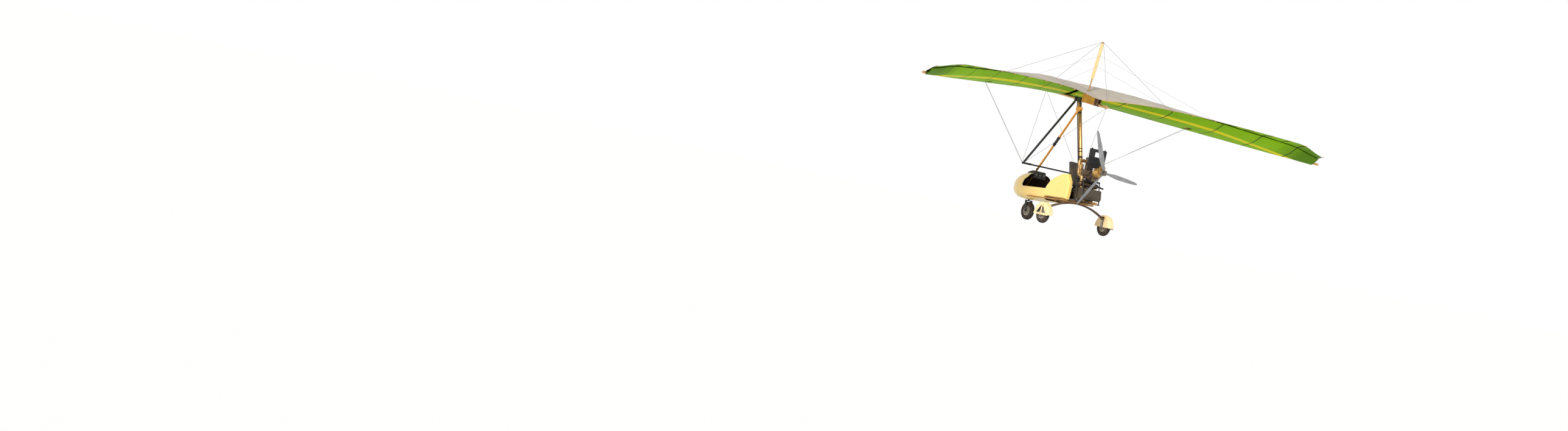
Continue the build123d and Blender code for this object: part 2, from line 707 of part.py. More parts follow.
def spat():
    """Left mudguard: an open half dome with two windows in its outer face."""
    wheel_y = track / 2
    half_w, length, height = 68.0, 242.0, 246.0
    low = wheel_r - 8

    def dome(inset):
        y0, y1 = wheel_y - half_w + inset, wheel_y + half_w - inset
        arch = Plane(origin=(ahead(0), y0, low), x_dir=(1, 0, 0), z_dir=(0, 1, 0))
        body = extrude(arch * Ellipse(length - inset, height - inset), y1 - y0)
        body = body.fillet(30 - inset, body.edges().filter_by(GeomType.ELLIPSE))
        return body

    cut = box(ahead(-400), ahead(400), 0, 2000, low, 1000)
    outer = dome(0) & cut
    shape = outer - dome(shell)
    face_y = wheel_y + half_w
    for side in (1, -1):
        window = [(ahead(side * 16), low + 26), (ahead(side * 16), low + 190), (ahead(side * 150), low + 26)]
        shape -= prism(window, face_y - 12, face_y + 12)
    shape -= box(ahead(-42), ahead(42), wheel_y - half_w - 12, wheel_y - half_w + 12, 0, 380)
    bar = box(ahead(-length + 12), ahead(length - 12), face_y - 5, face_y, low - 14, low + 22)
    boss = rod((ahead(0), face_y - 16, wheel_r), (ahead(0), face_y + 8, wheel_r), 30)
    shape = shape + bar + boss
    shape -= rod((ahead(0), 0, wheel_r), (ahead(0), 2000, wheel_r), axle_r + seat_gap)
    return shape


def nose_fork():
    """Steered fork: stem, crown, two legs and the nose wheel's axle."""
    x = ahead(steer_x)
    hub_x = ahead(wheelbase)
    stem = rod((x, 0, 392), (x, 0, base_z(steer_x) + 64), stem_r)
    crown = box(x - 34, x + 26, -fork_gap - 14, fork_gap + 14, 372, 394)
    leg = prism([(x - 34, 392), (x + 26, 392), (x + 8, 300), (hub_x + 20, wheel_r - 18),
                 (hub_x - 20, wheel_r - 18), (hub_x - 24, wheel_r + 20)], fork_gap, fork_gap + 14)
    axle = rod((hub_x, -fork_gap - 22, wheel_r), (hub_x, fork_gap + 22, wheel_r), axle_r)
    ring = rod((x, 0, 394), (x, 0, base_z(steer_x) - 48 - 2), stem_r + 7)
    collar = rod((hub_x, rim_w / 2 + 1, wheel_r), (hub_x, fork_gap, wheel_r), axle_r + 8)
    return stem + crown + leg + mirrored(leg) + axle + ring + collar + mirrored(collar)


def foot_bar():
    """Steering bar on top of the fork's stem, with a peg for each foot."""
    x = ahead(steer_x)
    z = base_z(steer_x) + 52
    bar = rod((x, -205, z), (x, 205, z), 11)
    clamp = rod((x, 0, z - 13), (x, 0, z + 22), stem_r + 9) - rod((x, 0, z - 40), (x, 0, z + 12), stem_r + seat_gap)
    bar -= rod((x, 0, z - 40), (x, 0, z + 12), stem_r + seat_gap)
    for y in (-1, 1):
        bar += rod((x, y * 130, z), (x, y * 205, z), 17)
    return bar + clamp


def rim(x, y):
    """Cast wheel with five round holes between hub and rim."""
    half = rim_w / 2
    bore = axle_r + running_gap
    profile = [(bore, -half), (34, -half), (34, -14), (rim_r - 16, -14), (rim_r - 12, -half + 6),
               (rim_r, -half + 6), (rim_r, half - 6), (rim_r - 12, half - 6), (rim_r - 16, 14),
               (34, 14), (34, half), (bore, half)]
    wheel = spin_y(profile, 0, 0, 0)
    for i in range(5):
        a = math.radians(72 * i + 18)
        wheel -= rod((58 * math.cos(a), -40, 58 * math.sin(a)), (58 * math.cos(a), 40, 58 * math.sin(a)), 15)
    return wheel.moved(Location((ahead(x), y, wheel_r)))


def tyre(x, y):
    half = tyre_w / 2
    profile = [(rim_r + seat_gap, -half + 16), (rim_r + 22, -half + 3), (rim_r + 48, -half),
               (wheel_r - 15, -half + 10), (wheel_r - 3, -half + 26), (wheel_r, -14),
               (wheel_r, 14), (wheel_r - 3, half - 26), (wheel_r - 15, half - 10),
               (rim_r + 48, half), (rim_r + 22, half - 3), (rim_r + seat_gap, half - 16)]
    return spin_y(profile, ahead(x), y, wheel_r)


# Seats and tank
def front_seat():
    """Padded pan and back of the front seat, in one side-view outline."""
    return prism([(ahead(930), 640), (ahead(925), 712), (ahead(870), 716), (ahead(560), 668),
                  (ahead(585), 1010), (ahead(560), 1040), (ahead(520), 1036), (ahead(440), 640),
                  (ahead(470), 600.3), (ahead(880), 630.3)], -185, 185)


def rear_seat():
    return prism([(ahead(444), 764), (ahead(448), 806), (ahead(430), 822), (ahead(190), 802),
                  (ahead(358), 1330), (ahead(338), 1366), (ahead(296), 1366), (ahead(70), 800),
                  (ahead(85), 750.3), (ahead(430), 750.3)], -190, 190)


def seat_frame():
    """Trays and side plates that hold both seats over the base tube."""
    plate = prism([(ahead(880), 560), (ahead(880), 630), (ahead(470), 600), (ahead(436), 640),
                   (ahead(430), 750), (ahead(82), 750), (ahead(30), 640), (ahead(-20), 560)], 205, 215)
    low = box(ahead(40), ahead(420), -205, 205, 744, 750)
    tray = prism([(ahead(880), 622), (ahead(880), 630), (ahead(470), 600), (ahead(470), 592)], -205, 205)
    legs = box(ahead(60), ahead(90), base_side / 2 + seat_gap, 205, 560, 590)
    legs += box(ahead(820), ahead(850), base_side / 2 + seat_gap, 205, 560, 590)
    clear = rod(Vector(ahead(mast_foot[0]), 0, mast_foot[1]), Vector(ahead(hang_x), 0, hang_z), mast_r + 6)
    frame = plate + mirrored(plate) + low + tray + legs + mirrored(legs)
    drop = box(ahead(60), ahead(84), -24, 24, base_z(60) + base_side / 2 + 0.5, 748)
    drop += box(ahead(826), ahead(850), -24, 24, base_z(826) + base_side / 2 + 0.5, 624)
    return frame + drop - clear


def fuel_tank():
    tank = prism([(ahead(-70), 640), (ahead(-70), 860), (ahead(-440), 860), (ahead(-478), 700),
                  (ahead(-450), 640)], -190, 190)
    inside = prism([(ahead(-75), 645), (ahead(-75), 855), (ahead(-436), 855), (ahead(-472), 700),
                    (ahead(-446), 645)], -185, 185)
    tank = tank.fillet(22, tank.edges().filter_by(Axis.Y)) - inside.fillet(17, inside.edges().filter_by(Axis.Y))
    clear = rod(Vector(ahead(mast_foot[0]), 0, mast_foot[1]), Vector(ahead(hang_x), 0, hang_z), mast_r + 8)
    mast_tube = rod(Vector(ahead(mast_foot[0]), 0, mast_foot[1]), Vector(ahead(hang_x), 0, hang_z), mast_r + 13)
    tank += mast_tube & box(ahead(-76), ahead(-40), -190, 190, 645, 855)
    tank -= clear
    tank -= rod((ahead(-390), 120, 850), (ahead(-390), 120, 870), 26)
    tank += rod((ahead(-390), 120, 858), (ahead(-390), 120, 884), 34)
    foot = box(ahead(-420), ahead(-250), -24, 24, 600, 645)
    foot -= beam((ahead(-600), 0, base_z(-600)), (ahead(0), 0, base_z(0)),
                 base_side + 2 * seat_gap, base_side + 2 * seat_gap)
    return tank + foot


# Engine
mount_z = 1030.0           # top of the engine's bearers
bearer_y = 85.0
frame_y = 205.0            # uprights each side of the tank
CYLINDERS = (-60.0, -190.0)        # ahead of the main axle
cylinder_r = 52.0
case_top = 1222.0
muffler_x, muffler_z, muffler_r = -250.0, 930.0, 52.0


def engine_mount():
    """Bearers clamped to the mast, and the uprights that stand on the base tube."""
    low = mount_z - 34
    clamp_x = mast_x(mount_z - 17)
    frame = box(ahead(clamp_x - 62), ahead(clamp_x + 48), -bearer_y - 15, bearer_y + 15, low, mount_z)
    for y in (-bearer_y, bearer_y):
        frame += box(ahead(-420), ahead(clamp_x - 20), y - 15, y + 15, low, mount_z)
    for top_x, foot_x in ((-100.0, -200.0), (-300.0, -420.0)):
        frame += box(ahead(top_x - 12), ahead(top_x + 12), -frame_y - 12, frame_y + 12, low, mount_z)
        z = base_z(foot_x)
        for side in (-1, 1):
            y = side * frame_y
            frame += rod((ahead(top_x), y, low + 10), (ahead(foot_x), y, z), 11)
            y0, y1 = sorted((side * (base_side / 2 + seat_gap), side * (frame_y + 12)))
            frame += box(ahead(foot_x - 12), ahead(foot_x + 12), y0, y1, z - 12, z + 12)
    foot = Vector(ahead(mast_foot[0]), 0, mast_foot[1])
    return frame - rod(foot, Vector(ahead(hang_x), 0, hang_z), mast_r + seat_gap)


def crankcase():
    """Crankcase with its split line rib, bearer feet and the pull starter's housing."""
    case = box(ahead(-400), ahead(-30), -95, 95, mount_z + 12, case_top)
    case = case.fillet(24, case.edges().filter_by(Axis.X))
    case += box(ahead(-400), ahead(-22), -112, 112, 1118, 1130)
    for x in (-90.0, -340.0):
        for side in (-1, 1):
            y0, y1 = sorted((side * 60, side * 108))
            case += box(ahead(x - 20), ahead(x + 20), y0, y1, mount_z, mount_z + 60)
    return case


def cylinders():
    """Two barrels with cooling rings and one head cover each, with plug caps."""
    parts = []
    for x in CYLINDERS:
        barrel = rod((ahead(x), 0, case_top), (ahead(x), 0, 1470), cylinder_r - 10)
        for i in range(6):
            z = case_top + 22 + 30 * i
            barrel += rod((ahead(x), 0, z), (ahead(x), 0, z + 12), cylinder_r)
        barrel += rod((ahead(x), 0, 1420), (ahead(x), 0, 1462), cylinder_r + 4)
        barrel += rod((ahead(x), 0, 1470), (ahead(x), 0, 1512), 14)
        parts.append(barrel)
    return group(*parts)


def gearbox():
    """Reduction gearbox: a round cover, a flange on the crankcase and the shaft."""
    x0, x1 = ahead(-400) - seat_gap, ahead(prop_x + 62)
    cover = Solid.make_cone(98, 72, 60, Plane(origin=(x0 - 70, 0, prop_z - 30), z_dir=(-1, 0, 0)))
    body = rod((x0, 0, prop_z - 30), (x0 - 70, 0, prop_z - 30), 98)
    shaft = rod((x0 - 120, 0, prop_z), (ahead(prop_x - 10), 0, prop_z), 18)
    nose = rod((x0 - 120, 0, prop_z), (x1, 0, prop_z), 40)
    starter = rod((x0 - 20, -60, prop_z + 92), (x0 - 130, -60, prop_z + 92), 38)
    lug = box(x0 - 70, x0 - 20, -100, -20, prop_z + 20, prop_z + 100)
    return body + cover + nose + shaft + starter + lug


def carburettors():
    """Two carburettors on the right side, each with its round air filter."""
    parts = []
    for x in CYLINDERS:
        out = -(cylinder_r + 6)
        body = rod((ahead(x), -cylinder_r + 8, 1330), (ahead(x), -128, 1330), 20)
        body -= rod((ahead(x), 0, case_top), (ahead(x), 0, 1470), cylinder_r + seat_gap)
        bowl = rod((ahead(x), -100, 1282), (ahead(x), -100, 1378), 24)
        filter_can = rod((ahead(x), -128, 1330), (ahead(x), -205, 1330), 44)
        parts.append(body + bowl + filter_can)
    return group(*parts)


def radiator():
    """Upright radiator: a framed core with a window and rows of fins."""
    x0, x1 = ahead(-318), ahead(-280)
    y0, y1, z0, z1 = -215.0, 185.0, 1300.0, 1660.0
    frame = box(x0, x1, y0, y1, z0, z1)
    window = (-85.0, 62.0, 1505.0, 1600.0)
    frame -= box(x0 - 5, x1 + 5, *window)
    for i in range(5):
        z = z0 + 24 + 34 * i
        for a, b in ((x1 - 13, x1 + 5), (x0 - 5, x0 + 13)):
            frame -= box(a, b, y0 + 24, y1 - 24, z, z + 22)
    for y in (y0 + 30, y1 - 52):
        frame += rod((x0 + 19, y + 11, z1), (x0 + 19, y + 11, z1 + 16), 13)
    low = case_top + seat_gap
    for y in (-80.0, 56.0):
        frame += box(x0 + 8, x1 - 8, y, y + 24, low, z0 + 2)
    return frame


def pipe(points, bends, radius):
    """A round pipe along straight runs joined by arcs."""
    path = FilletPolyline(*points, radius=bends)
    start = Plane(origin=path @ 0, z_dir=path % 0)
    return sweep(start * Circle(radius), path=path)


def exhaust_pipe():
    """Manifold from both barrels, bent outwards and down to the muffler."""
    z = 1385.0
    x = ahead(CYLINDERS[0])
    route = [(x, 62, z), (x, 214, z), (ahead(-110), 214, 1110), (ahead(muffler_x), 214, 1064),
             (ahead(muffler_x), 214, muffler_z + 55)]
    bends = [46, 60, 40]
    down = pipe(route, bends, 30)
    log = rod((x, 70, z), (ahead(CYLINDERS[1]), 70, z), 21)
    ports = []
    for port_x in CYLINDERS:
        ports.append(rod((ahead(port_x), 44, z), (ahead(port_x), 72, z), 17))
    whole = down + log + ports[0] + ports[1]
    for port_x in CYLINDERS:
        whole -= rod((ahead(port_x), 0, case_top), (ahead(port_x), 0, 1470), cylinder_r + seat_gap)
    joint = rod((x, 100, z), (x, 116, z), 36)
    return whole + joint - pipe(route, bends, 27)


def muffler():
    """Crosswise muffler with end cones, hanger straps and the curled tailpipe."""
    x, z = ahead(muffler_x), muffler_z
    can = rod((x, -190, z), (x, 240, z), muffler_r)
    can += Solid.make_cone(muffler_r, 26, 30, Plane(origin=(x, 240, z), z_dir=(0, 1, 0)))
    can += Solid.make_cone(muffler_r, 26, 30, Plane(origin=(x, -190, z), z_dir=(0, -1, 0)))
    for y in (-bearer_y, bearer_y):
        can += rod((x, y - 12, z), (x, y + 12, z), muffler_r + 3)
        can += box(x - 14, x + 14, y - 10, y + 10, z + muffler_r, mount_z - 34 - seat_gap)
    route = [(x, -215, z), (x, -262, z), (x - 90, -268, z - 12), (x - 190, -210, z - 16)]
    port = rod((x, 214, z + muffler_r - 10), (x, 214, z + 54.7), 34)
    whole = can + pipe(route, [30, 40], 16) + port
    return whole - rod((x, -187, z), (x, 237, z), muffler_r - 3) - pipe(route, [30, 40], 14)


def propeller_hub():
    x = ahead(prop_x)
    hub = rod((x - 30, 0, prop_z), (x + 30, 0, prop_z), 58)
    hub += rod((x - 42, 0, prop_z), (x - 30, 0, prop_z), 34)
    hub += rod((x + 30, 0, prop_z), (x + 40, 0, prop_z), 44)
    hub -= rod((x - 30, 0, prop_z), (x + 60, 0, prop_z), 18 + running_gap)
    for i in range(6):
        a = math.radians(60 * i + 30)
        y, z = 40 * math.cos(a), 40 * math.sin(a)
        hub -= rod((x - 32, y, prop_z + z), (x - 24, y, prop_z + z), 5)
    return hub


# A blade from root to tip: radius, chord, twist in degrees, thickness
BLADE = [(58.5, 50, 58, 40), (120, 66, 46, 24), (300, 104, 29, 14), (560, 88, 19, 9),
         (800, 58, 14, 6), (prop_r, 26, 12, 3)]


def propeller_blades():
    """Three twisted blades, each lofted through six-sided sections."""
    wires = []
    for radius, chord, twist, thick in BLADE:
        a = math.radians(twist)
        along, square = Vector(math.sin(a), math.cos(a), 0), Vector(math.cos(a), -math.sin(a), 0)
        outline = [(-0.5, 0.05), (-0.25, 0.42), (0.12, 0.5), (0.5, 0.0), (0.1, -0.45), (-0.3, -0.4)]
        wires.append(Wire.make_polygon(
            [Vector(0, 0, radius) + along * (c * chord) + square * (t * thick) for c, t in outline],
            close=True))
    blade = Solid.make_loft(wires, ruled=True)
    blades = []
    for i in range(blade_count):
        turned = blade.rotate(Axis((0, 0, 0), (1, 0, 0)), 360 * i / blade_count + first_blade)
        blades.append(turned.moved(Location((ahead(prop_x), 0, prop_z))))
    return group(*blades)


def nodes():
    """Every piece by its name, in the machine's frame."""
    half_track = track / 2
    sail = sail_half()
    axle, guard, panel = stub_axle(), spat(), side_panel()
    edge = leading_edge()
    left_battens = battens(1)
    car = {
        "base_tube": base_tube(), "mast": mast(), "mast_head": mast_head(),
        "front_strut": front_strut(), "strut_sleeve": strut_sleeve(), "side_rails": side_rails(),
        "pod_fairing": pod_fairing(), "instrument_panel": instrument_panel(),
        "side_panel_left": panel, "side_panel_right": mirrored(panel),
        "front_seat": front_seat(), "rear_seat": rear_seat(), "seat_frame": seat_frame(),
        "fuel_tank": fuel_tank(), "engine_mount": engine_mount(), "crankcase": crankcase(),
        "cylinders": cylinders(), "gearbox": gearbox(), "carburettors": carburettors(),
        "radiator": radiator(), "exhaust_pipe": exhaust_pipe(), "muffler": muffler(),
        "gear_bow": gear_bow(), "stub_axle_left": axle, "stub_axle_right": mirrored(axle),
        "spat_left": guard, "spat_right": mirrored(guard),
        "nose_fork": nose_fork(), "foot_bar": foot_bar(),
        "nose_rim": rim(wheelbase, 0), "nose_tyre": tyre(wheelbase, 0),
        "left_rim": rim(0, half_track), "left_tyre": tyre(0, half_track),
        "right_rim": rim(0, -half_track), "right_tyre": tyre(0, -half_track),
        "propeller_hub": propeller_hub(), "propeller_blades": propeller_blades(),
    }
    wing = {
        "hang_block": hang_block(), "keel_tube": keel_tube(), "nose_plates": nose_plates(),
        "leading_edge_left": edge, "leading_edge_right": mirrored(edge),
        "sail_left": sail, "sail_right": mirrored(sail), "sail_root_strip": root_strip(),
        "keel_pocket": keel_pocket(), "battens_left": left_battens,
        "battens_right": battens(-1), "kingpost": kingpost(),
        "kingpost_fairing": kingpost_fairing(), "apex_bracket": apex_bracket(),
        "downtubes": downtubes(), "base_bar": base_bar(),
        "lower_stays": lower_stays(), "upper_stays": upper_stays(),
    }
    car.update({name: on_wing(shape) for name, shape in wing.items()})
    return car


def main():
    os.makedirs("parts", exist_ok=True)
    for name, shape in nodes().items():
        export_step(shape, f"parts/{name}.step")


main()
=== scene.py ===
"""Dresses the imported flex-wing microlight: cloth, cushions, tread, paint and the camera."""
import json
import math

import bmesh
import bpy
from mathutils import Matrix, Vector

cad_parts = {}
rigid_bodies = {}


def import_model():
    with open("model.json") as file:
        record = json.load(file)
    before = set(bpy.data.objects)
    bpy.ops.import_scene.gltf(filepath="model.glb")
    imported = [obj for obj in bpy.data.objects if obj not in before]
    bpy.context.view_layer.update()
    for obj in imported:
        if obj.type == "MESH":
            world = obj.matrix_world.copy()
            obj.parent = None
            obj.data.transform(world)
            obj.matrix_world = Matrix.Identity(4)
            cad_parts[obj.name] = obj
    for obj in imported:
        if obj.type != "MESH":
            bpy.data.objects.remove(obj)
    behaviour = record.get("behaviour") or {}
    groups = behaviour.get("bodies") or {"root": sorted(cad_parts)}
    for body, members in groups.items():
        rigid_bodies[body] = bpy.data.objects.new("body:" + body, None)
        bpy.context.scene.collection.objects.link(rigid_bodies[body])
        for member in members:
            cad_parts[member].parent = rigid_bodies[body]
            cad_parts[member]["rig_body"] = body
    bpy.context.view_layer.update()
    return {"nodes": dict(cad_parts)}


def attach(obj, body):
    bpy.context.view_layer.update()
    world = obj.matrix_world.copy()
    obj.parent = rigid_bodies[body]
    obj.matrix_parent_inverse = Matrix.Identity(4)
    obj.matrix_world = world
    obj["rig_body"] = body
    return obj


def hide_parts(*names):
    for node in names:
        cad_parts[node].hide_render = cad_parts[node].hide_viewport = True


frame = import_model()
nodes = frame["nodes"]

# Places shared with the source, in metres, and angles
axle_x = -0.392
track = 1.557
wheelbase = 1.557
wheel_r = 0.182
hang_bolt = Vector((axle_x + 0.618, 0, 2.5))
keel_up = math.radians(4.26)
keel_over_bolt = 0.080
keel_r = 0.028
keel_nose = 1.244
sweep_back = math.radians(29.5)
droop = math.radians(1.3)
root_y = 0.045
node_y = 2.588                      # side stays meet the leading edge here
mast_foot = Vector((axle_x - 0.112, 0, 0.606))
mast_r = 0.036
prop_x, prop_z = -0.640, 1.224      # behind the main axle, height
post_foot = Vector((-0.166, 0, 0.109))
post_lean = math.radians(2.8)

# Trailing edge of the sail: (y, x behind or ahead of the bolt, height, crest share)
TRAILING = [
    (root_y, -0.640, 0.190, 0.135),
    (0.520, -0.800, 0.250, 0.140),
    (1.010, -1.005, 0.305, 0.142),
    (1.449, -1.121, 0.328, 0.140),
    (1.877, -1.205, 0.335, 0.135),
    (2.382, -1.329, 0.338, 0.128),
    (2.858, -1.479, 0.339, 0.120),
    (3.235, -1.560, 0.332, 0.112),
    (3.645, -1.690, 0.324, 0.102),
    (4.037, -1.785, 0.312, 0.092),
    (4.389, -1.858, 0.285, 0.080),
    (4.934, -1.815, 0.143, 0.060),
]
# Top of a sail section: (share of chord, share of the crest's height)
UPPER = [(1.0, 0.0), (0.76, 0.50), (0.56, 0.84), (0.38, 1.0), (0.20, 0.90), (0.08, 0.60)]
# Round the leading edge tube: degrees from straight back, over the top
NOSE_ANGLES = (75, 120, 165, 210, 255)
nose_wrap = 0.034                   # cloth's radius round the leading edge tube
under_flat, under_end = 0.34, 0.64  # shares of chord where the lower skin turns up and ends

hang_turn = Matrix.Translation(hang_bolt) @ Matrix.Rotation(-keel_up, 4, "Y")


# Camera, floor and light
def photographers_camera():
    """A long lens at floor level, behind the left wing, rolled as the photograph is."""
    heading, climb, roll = math.radians(37.25), math.radians(1.15), math.radians(12.2)
    target, distance = Vector((axle_x + 0.3, 0, 1.9)), 93.2
    picture_px, focal_px = 2576, 7645.0
    off_middle_px = (491.0, 133.0)  # the target lies this far right and above the picture's middle
    look = Vector((math.cos(climb) * math.cos(heading), -math.cos(climb) * math.sin(heading),
                   math.sin(climb)))
    level = Vector((-math.sin(heading), -math.cos(heading), 0))
    over = level.cross(look)
    right = level * math.cos(roll) + over * math.sin(roll)
    up = over * math.cos(roll) - level * math.sin(roll)
    turn = Matrix((right, up, -look)).transposed()
    seen = Vector((*off_middle_px, -focal_px)).normalized()
    turn = turn @ seen.rotation_difference(Vector((0, 0, -1))).to_matrix()
    lens = bpy.data.cameras.new("photographer")
    lens.sensor_width = 36
    lens.lens = focal_px / picture_px * lens.sensor_width
    lens.clip_end = 500
    camera = bpy.data.objects.new("photographer", lens)
    camera.matrix_world = Matrix.Translation(target - look * distance) @ turn.to_4x4()
    bpy.context.scene.collection.objects.link(camera)
    bpy.context.scene.camera = camera


def sky_and_lamp():
    """An even white room with one broad warm lamp from behind the left wing."""
    scene = bpy.context.scene
    scene.view_settings.view_transform = "Standard"
    world = bpy.data.worlds.new("studio")
    scene.world = world
    world.use_nodes = True
    tree = world.node_tree
    plain = tree.nodes["Background"]
    plain.inputs["Color"].default_value = (0.94, 0.97, 1.0, 1)  # a little blue, for the shade
    plain.inputs["Strength"].default_value = 0.66
    white = tree.nodes.new("ShaderNodeBackground")
    white.inputs["Color"].default_value = (1, 1, 1, 1)
    white.inputs["Strength"].default_value = 1.0
    path = tree.nodes.new("ShaderNodeLightPath")
    either = tree.nodes.new("ShaderNodeMath")
    either.operation = "MAXIMUM"
    tree.links.new(path.outputs["Is Camera Ray"], either.inputs[0])
    tree.links.new(path.outputs["Is Glossy Ray"], either.inputs[1])
    more = tree.nodes.new("ShaderNodeMath")
    more.operation = "MAXIMUM"
    tree.links.new(either.outputs[0], more.inputs[0])
    tree.links.new(path.outputs["Is Transmission Ray"], more.inputs[1])
    mix = tree.nodes.new("ShaderNodeMixShader")
    tree.links.new(more.outputs[0], mix.inputs[0])
    tree.links.new(plain.outputs[0], mix.inputs[1])
    tree.links.new(white.outputs[0], mix.inputs[2])
    tree.links.new(mix.outputs[0], tree.nodes["World Output"].inputs["Surface"])
    lamp = bpy.data.lights.new("window", "SUN")
    lamp.energy = 3.0
    lamp.angle = math.radians(14)
    lamp.color = (1.0, 0.95, 0.86)
    window = bpy.data.objects.new("window", lamp)
    window.rotation_mode = "QUATERNION"
    window.rotation_quaternion = Vector((0.50, -0.62, -0.52)).to_track_quat("-Z", "Y")
    scene.collection.objects.link(window)


def studio_floor():
    """A pale floor that the camera sees nearly as white as the backdrop."""
    reach, seen_white = 400, 0.7
    bm = bmesh.new()
    bmesh.ops.create_grid(bm, x_segments=1, y_segments=1, size=reach)
    mesh = bpy.data.meshes.new("floor")
    bm.to_mesh(mesh)
    bm.free()
    floor = bpy.data.objects.new("floor", mesh)
    bpy.context.scene.collection.objects.link(floor)
    paint = bpy.data.materials.new("pale_floor")
    paint.use_nodes = True
    tree = paint.node_tree
    matt = tree.nodes["Principled BSDF"]
    matt.inputs["Base Color"].default_value = (0.86, 0.86, 0.86, 1)
    matt.inputs["Roughness"].default_value = 0.9
    glow = tree.nodes.new("ShaderNodeEmission")
    glow.inputs["Color"].default_value = (1, 1, 1, 1)
    path = tree.nodes.new("ShaderNodeLightPath")
    share = tree.nodes.new("ShaderNodeMath")
    share.operation = "MULTIPLY"
    share.inputs[1].default_value = seen_white
    tree.links.new(path.outputs["Is Camera Ray"], share.inputs[0])
    mix = tree.nodes.new("ShaderNodeMixShader")
    tree.links.new(share.outputs[0], mix.inputs[0])
    tree.links.new(matt.outputs[0], mix.inputs[1])
    tree.links.new(glow.outputs[0], mix.inputs[2])
    tree.links.new(mix.outputs[0], tree.nodes["Material Output"].inputs["Surface"])
    mesh.materials.append(paint)


# Materials
class Finish:
    """A material under construction: its tree and its shader."""

    def __init__(self, name, rough=0.5, metal=0.0, **sockets):
        self.material = bpy.data.materials.new(name)
        self.material.use_nodes = True
        self.tree = self.material.node_tree
        self.shader = self.tree.nodes["Principled BSDF"]
        self.shader.inputs["Roughness"].default_value = rough
        self.shader.inputs["Metallic"].default_value = metal
        for socket, value in sockets.items():
            self.shader.inputs[socket.replace("_", " ")].default_value = value
        self.place = self.node("ShaderNodeTexCoord").outputs["Object"]

    def node(self, kind, **settings):
        made = self.tree.nodes.new(kind)
        for key, value in settings.items():
            setattr(made, key, value)
        return made

    def join(self, source, target):
        self.tree.links.new(source, target)

    def stretched(self, scale):
        mapping = self.node("ShaderNodeMapping")
        mapping.inputs["Scale"].default_value = scale
        self.join(self.place, mapping.inputs["Vector"])
        return mapping.outputs[0]

    def noise(self, scale, detail=4.0, place=None):
        made = self.node("ShaderNodeTexNoise")
        made.inputs["Scale"].default_value = scale
        made.inputs["Detail"].default_value = detail
        made.inputs["Roughness"].default_value = 0.55
        self.join(place or self.place, made.inputs["Vector"])
        return made.outputs["Fac"]

    def cells(self, scale):
        made = self.node("ShaderNodeTexVoronoi")
        made.inputs["Scale"].default_value = scale
        self.join(self.place, made.inputs["Vector"])
        return made.outputs["Distance"]

    def bands(self, scale, direction):
        made = self.node("ShaderNodeTexWave", bands_direction=direction)
        made.inputs["Scale"].default_value = scale
        self.join(self.place, made.inputs["Vector"])
        return made.outputs["Fac"]

    def reach(self, value, low, high, to_low=0.0, to_high=1.0):
        made = self.node("ShaderNodeMapRange")
        for socket, number in zip(("From Min", "From Max", "To Min", "To Max"),
                                  (low, high, to_low, to_high)):
            made.inputs[socket].default_value = number
        self.join(value, made.inputs["Value"])
        return made.outputs[0]

    def sum(self, kind, a, b):
        made = self.node("ShaderNodeMath", operation=kind)
        for slot, value in enumerate((a, b)):
            if isinstance(value, (int, float)):
                made.inputs[slot].default_value = value
            else:
                self.join(value, made.inputs[slot])
        return made.outputs[0]

    def blend(self, share, a, b):
        made = self.node("ShaderNodeMix", data_type="RGBA")
        self.join(share, made.inputs["Factor"])
        for slot, colour in ((6, a), (7, b)):
            if isinstance(colour, tuple):
                made.inputs[slot].default_value = (*colour, 1)
            else:
                self.join(colour, made.inputs[slot])
        return made.outputs[2]

    def colour(self, source):
        if isinstance(source, tuple):
            self.shader.inputs["Base Color"].default_value = (*source, 1)
        else:
            self.join(source, self.shader.inputs["Base Color"])

    def roughness(self, value, low, high):
        self.join(self.reach(value, 0.3, 0.7, low, high), self.shader.inputs["Roughness"])

    def relief(self, height, depth, strength=1.0):
        made = self.node("ShaderNodeBump")
        made.inputs["Strength"].default_value = strength
        made.inputs["Distance"].default_value = depth
        self.join(height, made.inputs["Height"])
        self.join(made.outputs[0], self.shader.inputs["Normal"])


def srgb(r, g, b):
    """A colour as written in the photograph, 0 to 255, made linear."""
    return tuple(((c / 255 + 0.055) / 1.055) ** 2.4 if c > 10 else c / 255 / 12.92 for c in (r, g, b))


def gelcoat(name, colour, dust):
    """Glossy moulded shell with faint orange peel and dust that dulls it in patches."""
    f = Finish(name, 0.22, Coat_Weight=0.35, Coat_Roughness=0.12)
    patches = f.noise(3.0, 5)
    f.colour(f.blend(f.reach(patches, 0.60, 1.0), colour, dust))
    f.roughness(f.noise(11.0, 4), 0.18, 0.30)
    f.relief(f.noise(60.0, 2), 0.0003, 0.12)
    return f.material


def anodised(name, colour, edge, rough=0.32):
    """Drawn tube: fine lines along it, a little rubbed."""
    f = Finish(name, rough, 0.85)
    worn = f.reach(f.noise(9.0, 6), 0.55, 0.8)
    f.colour(f.blend(worn, colour, edge))
    lines = f.noise(90.0, 3, f.stretched((0.15, 3.0, 3.0)))
    f.roughness(lines, rough - 0.08, rough + 0.12)
    f.relief(lines, 0.0001, 0.12)
    return f.material


def powder_coat(name, colour, chip, rough=0.42):
    """Sprayed coat with a fine grain and small pale chips."""
    f = Finish(name, rough)
    chips = f.reach(f.noise(38.0, 6), 0.66, 0.70)
    f.colour(f.blend(chips, colour, chip))
    f.roughness(f.noise(16.0, 3), rough - 0.1, rough + 0.14)
    f.relief(f.noise(900.0, 2), 0.0003, 0.35)
    return f.material


def moulded(name, colour, lighter, rough=0.55, grain=260.0):
    """Moulded plastic with a leathery grain."""
    f = Finish(name, rough)
    f.colour(f.blend(f.reach(f.noise(7.0, 5), 0.4, 0.8), colour, lighter))
    f.roughness(f.noise(24.0, 3), rough - 0.08, rough + 0.12)
    f.relief(f.cells(grain), 0.0006, 0.35)
    return f.material


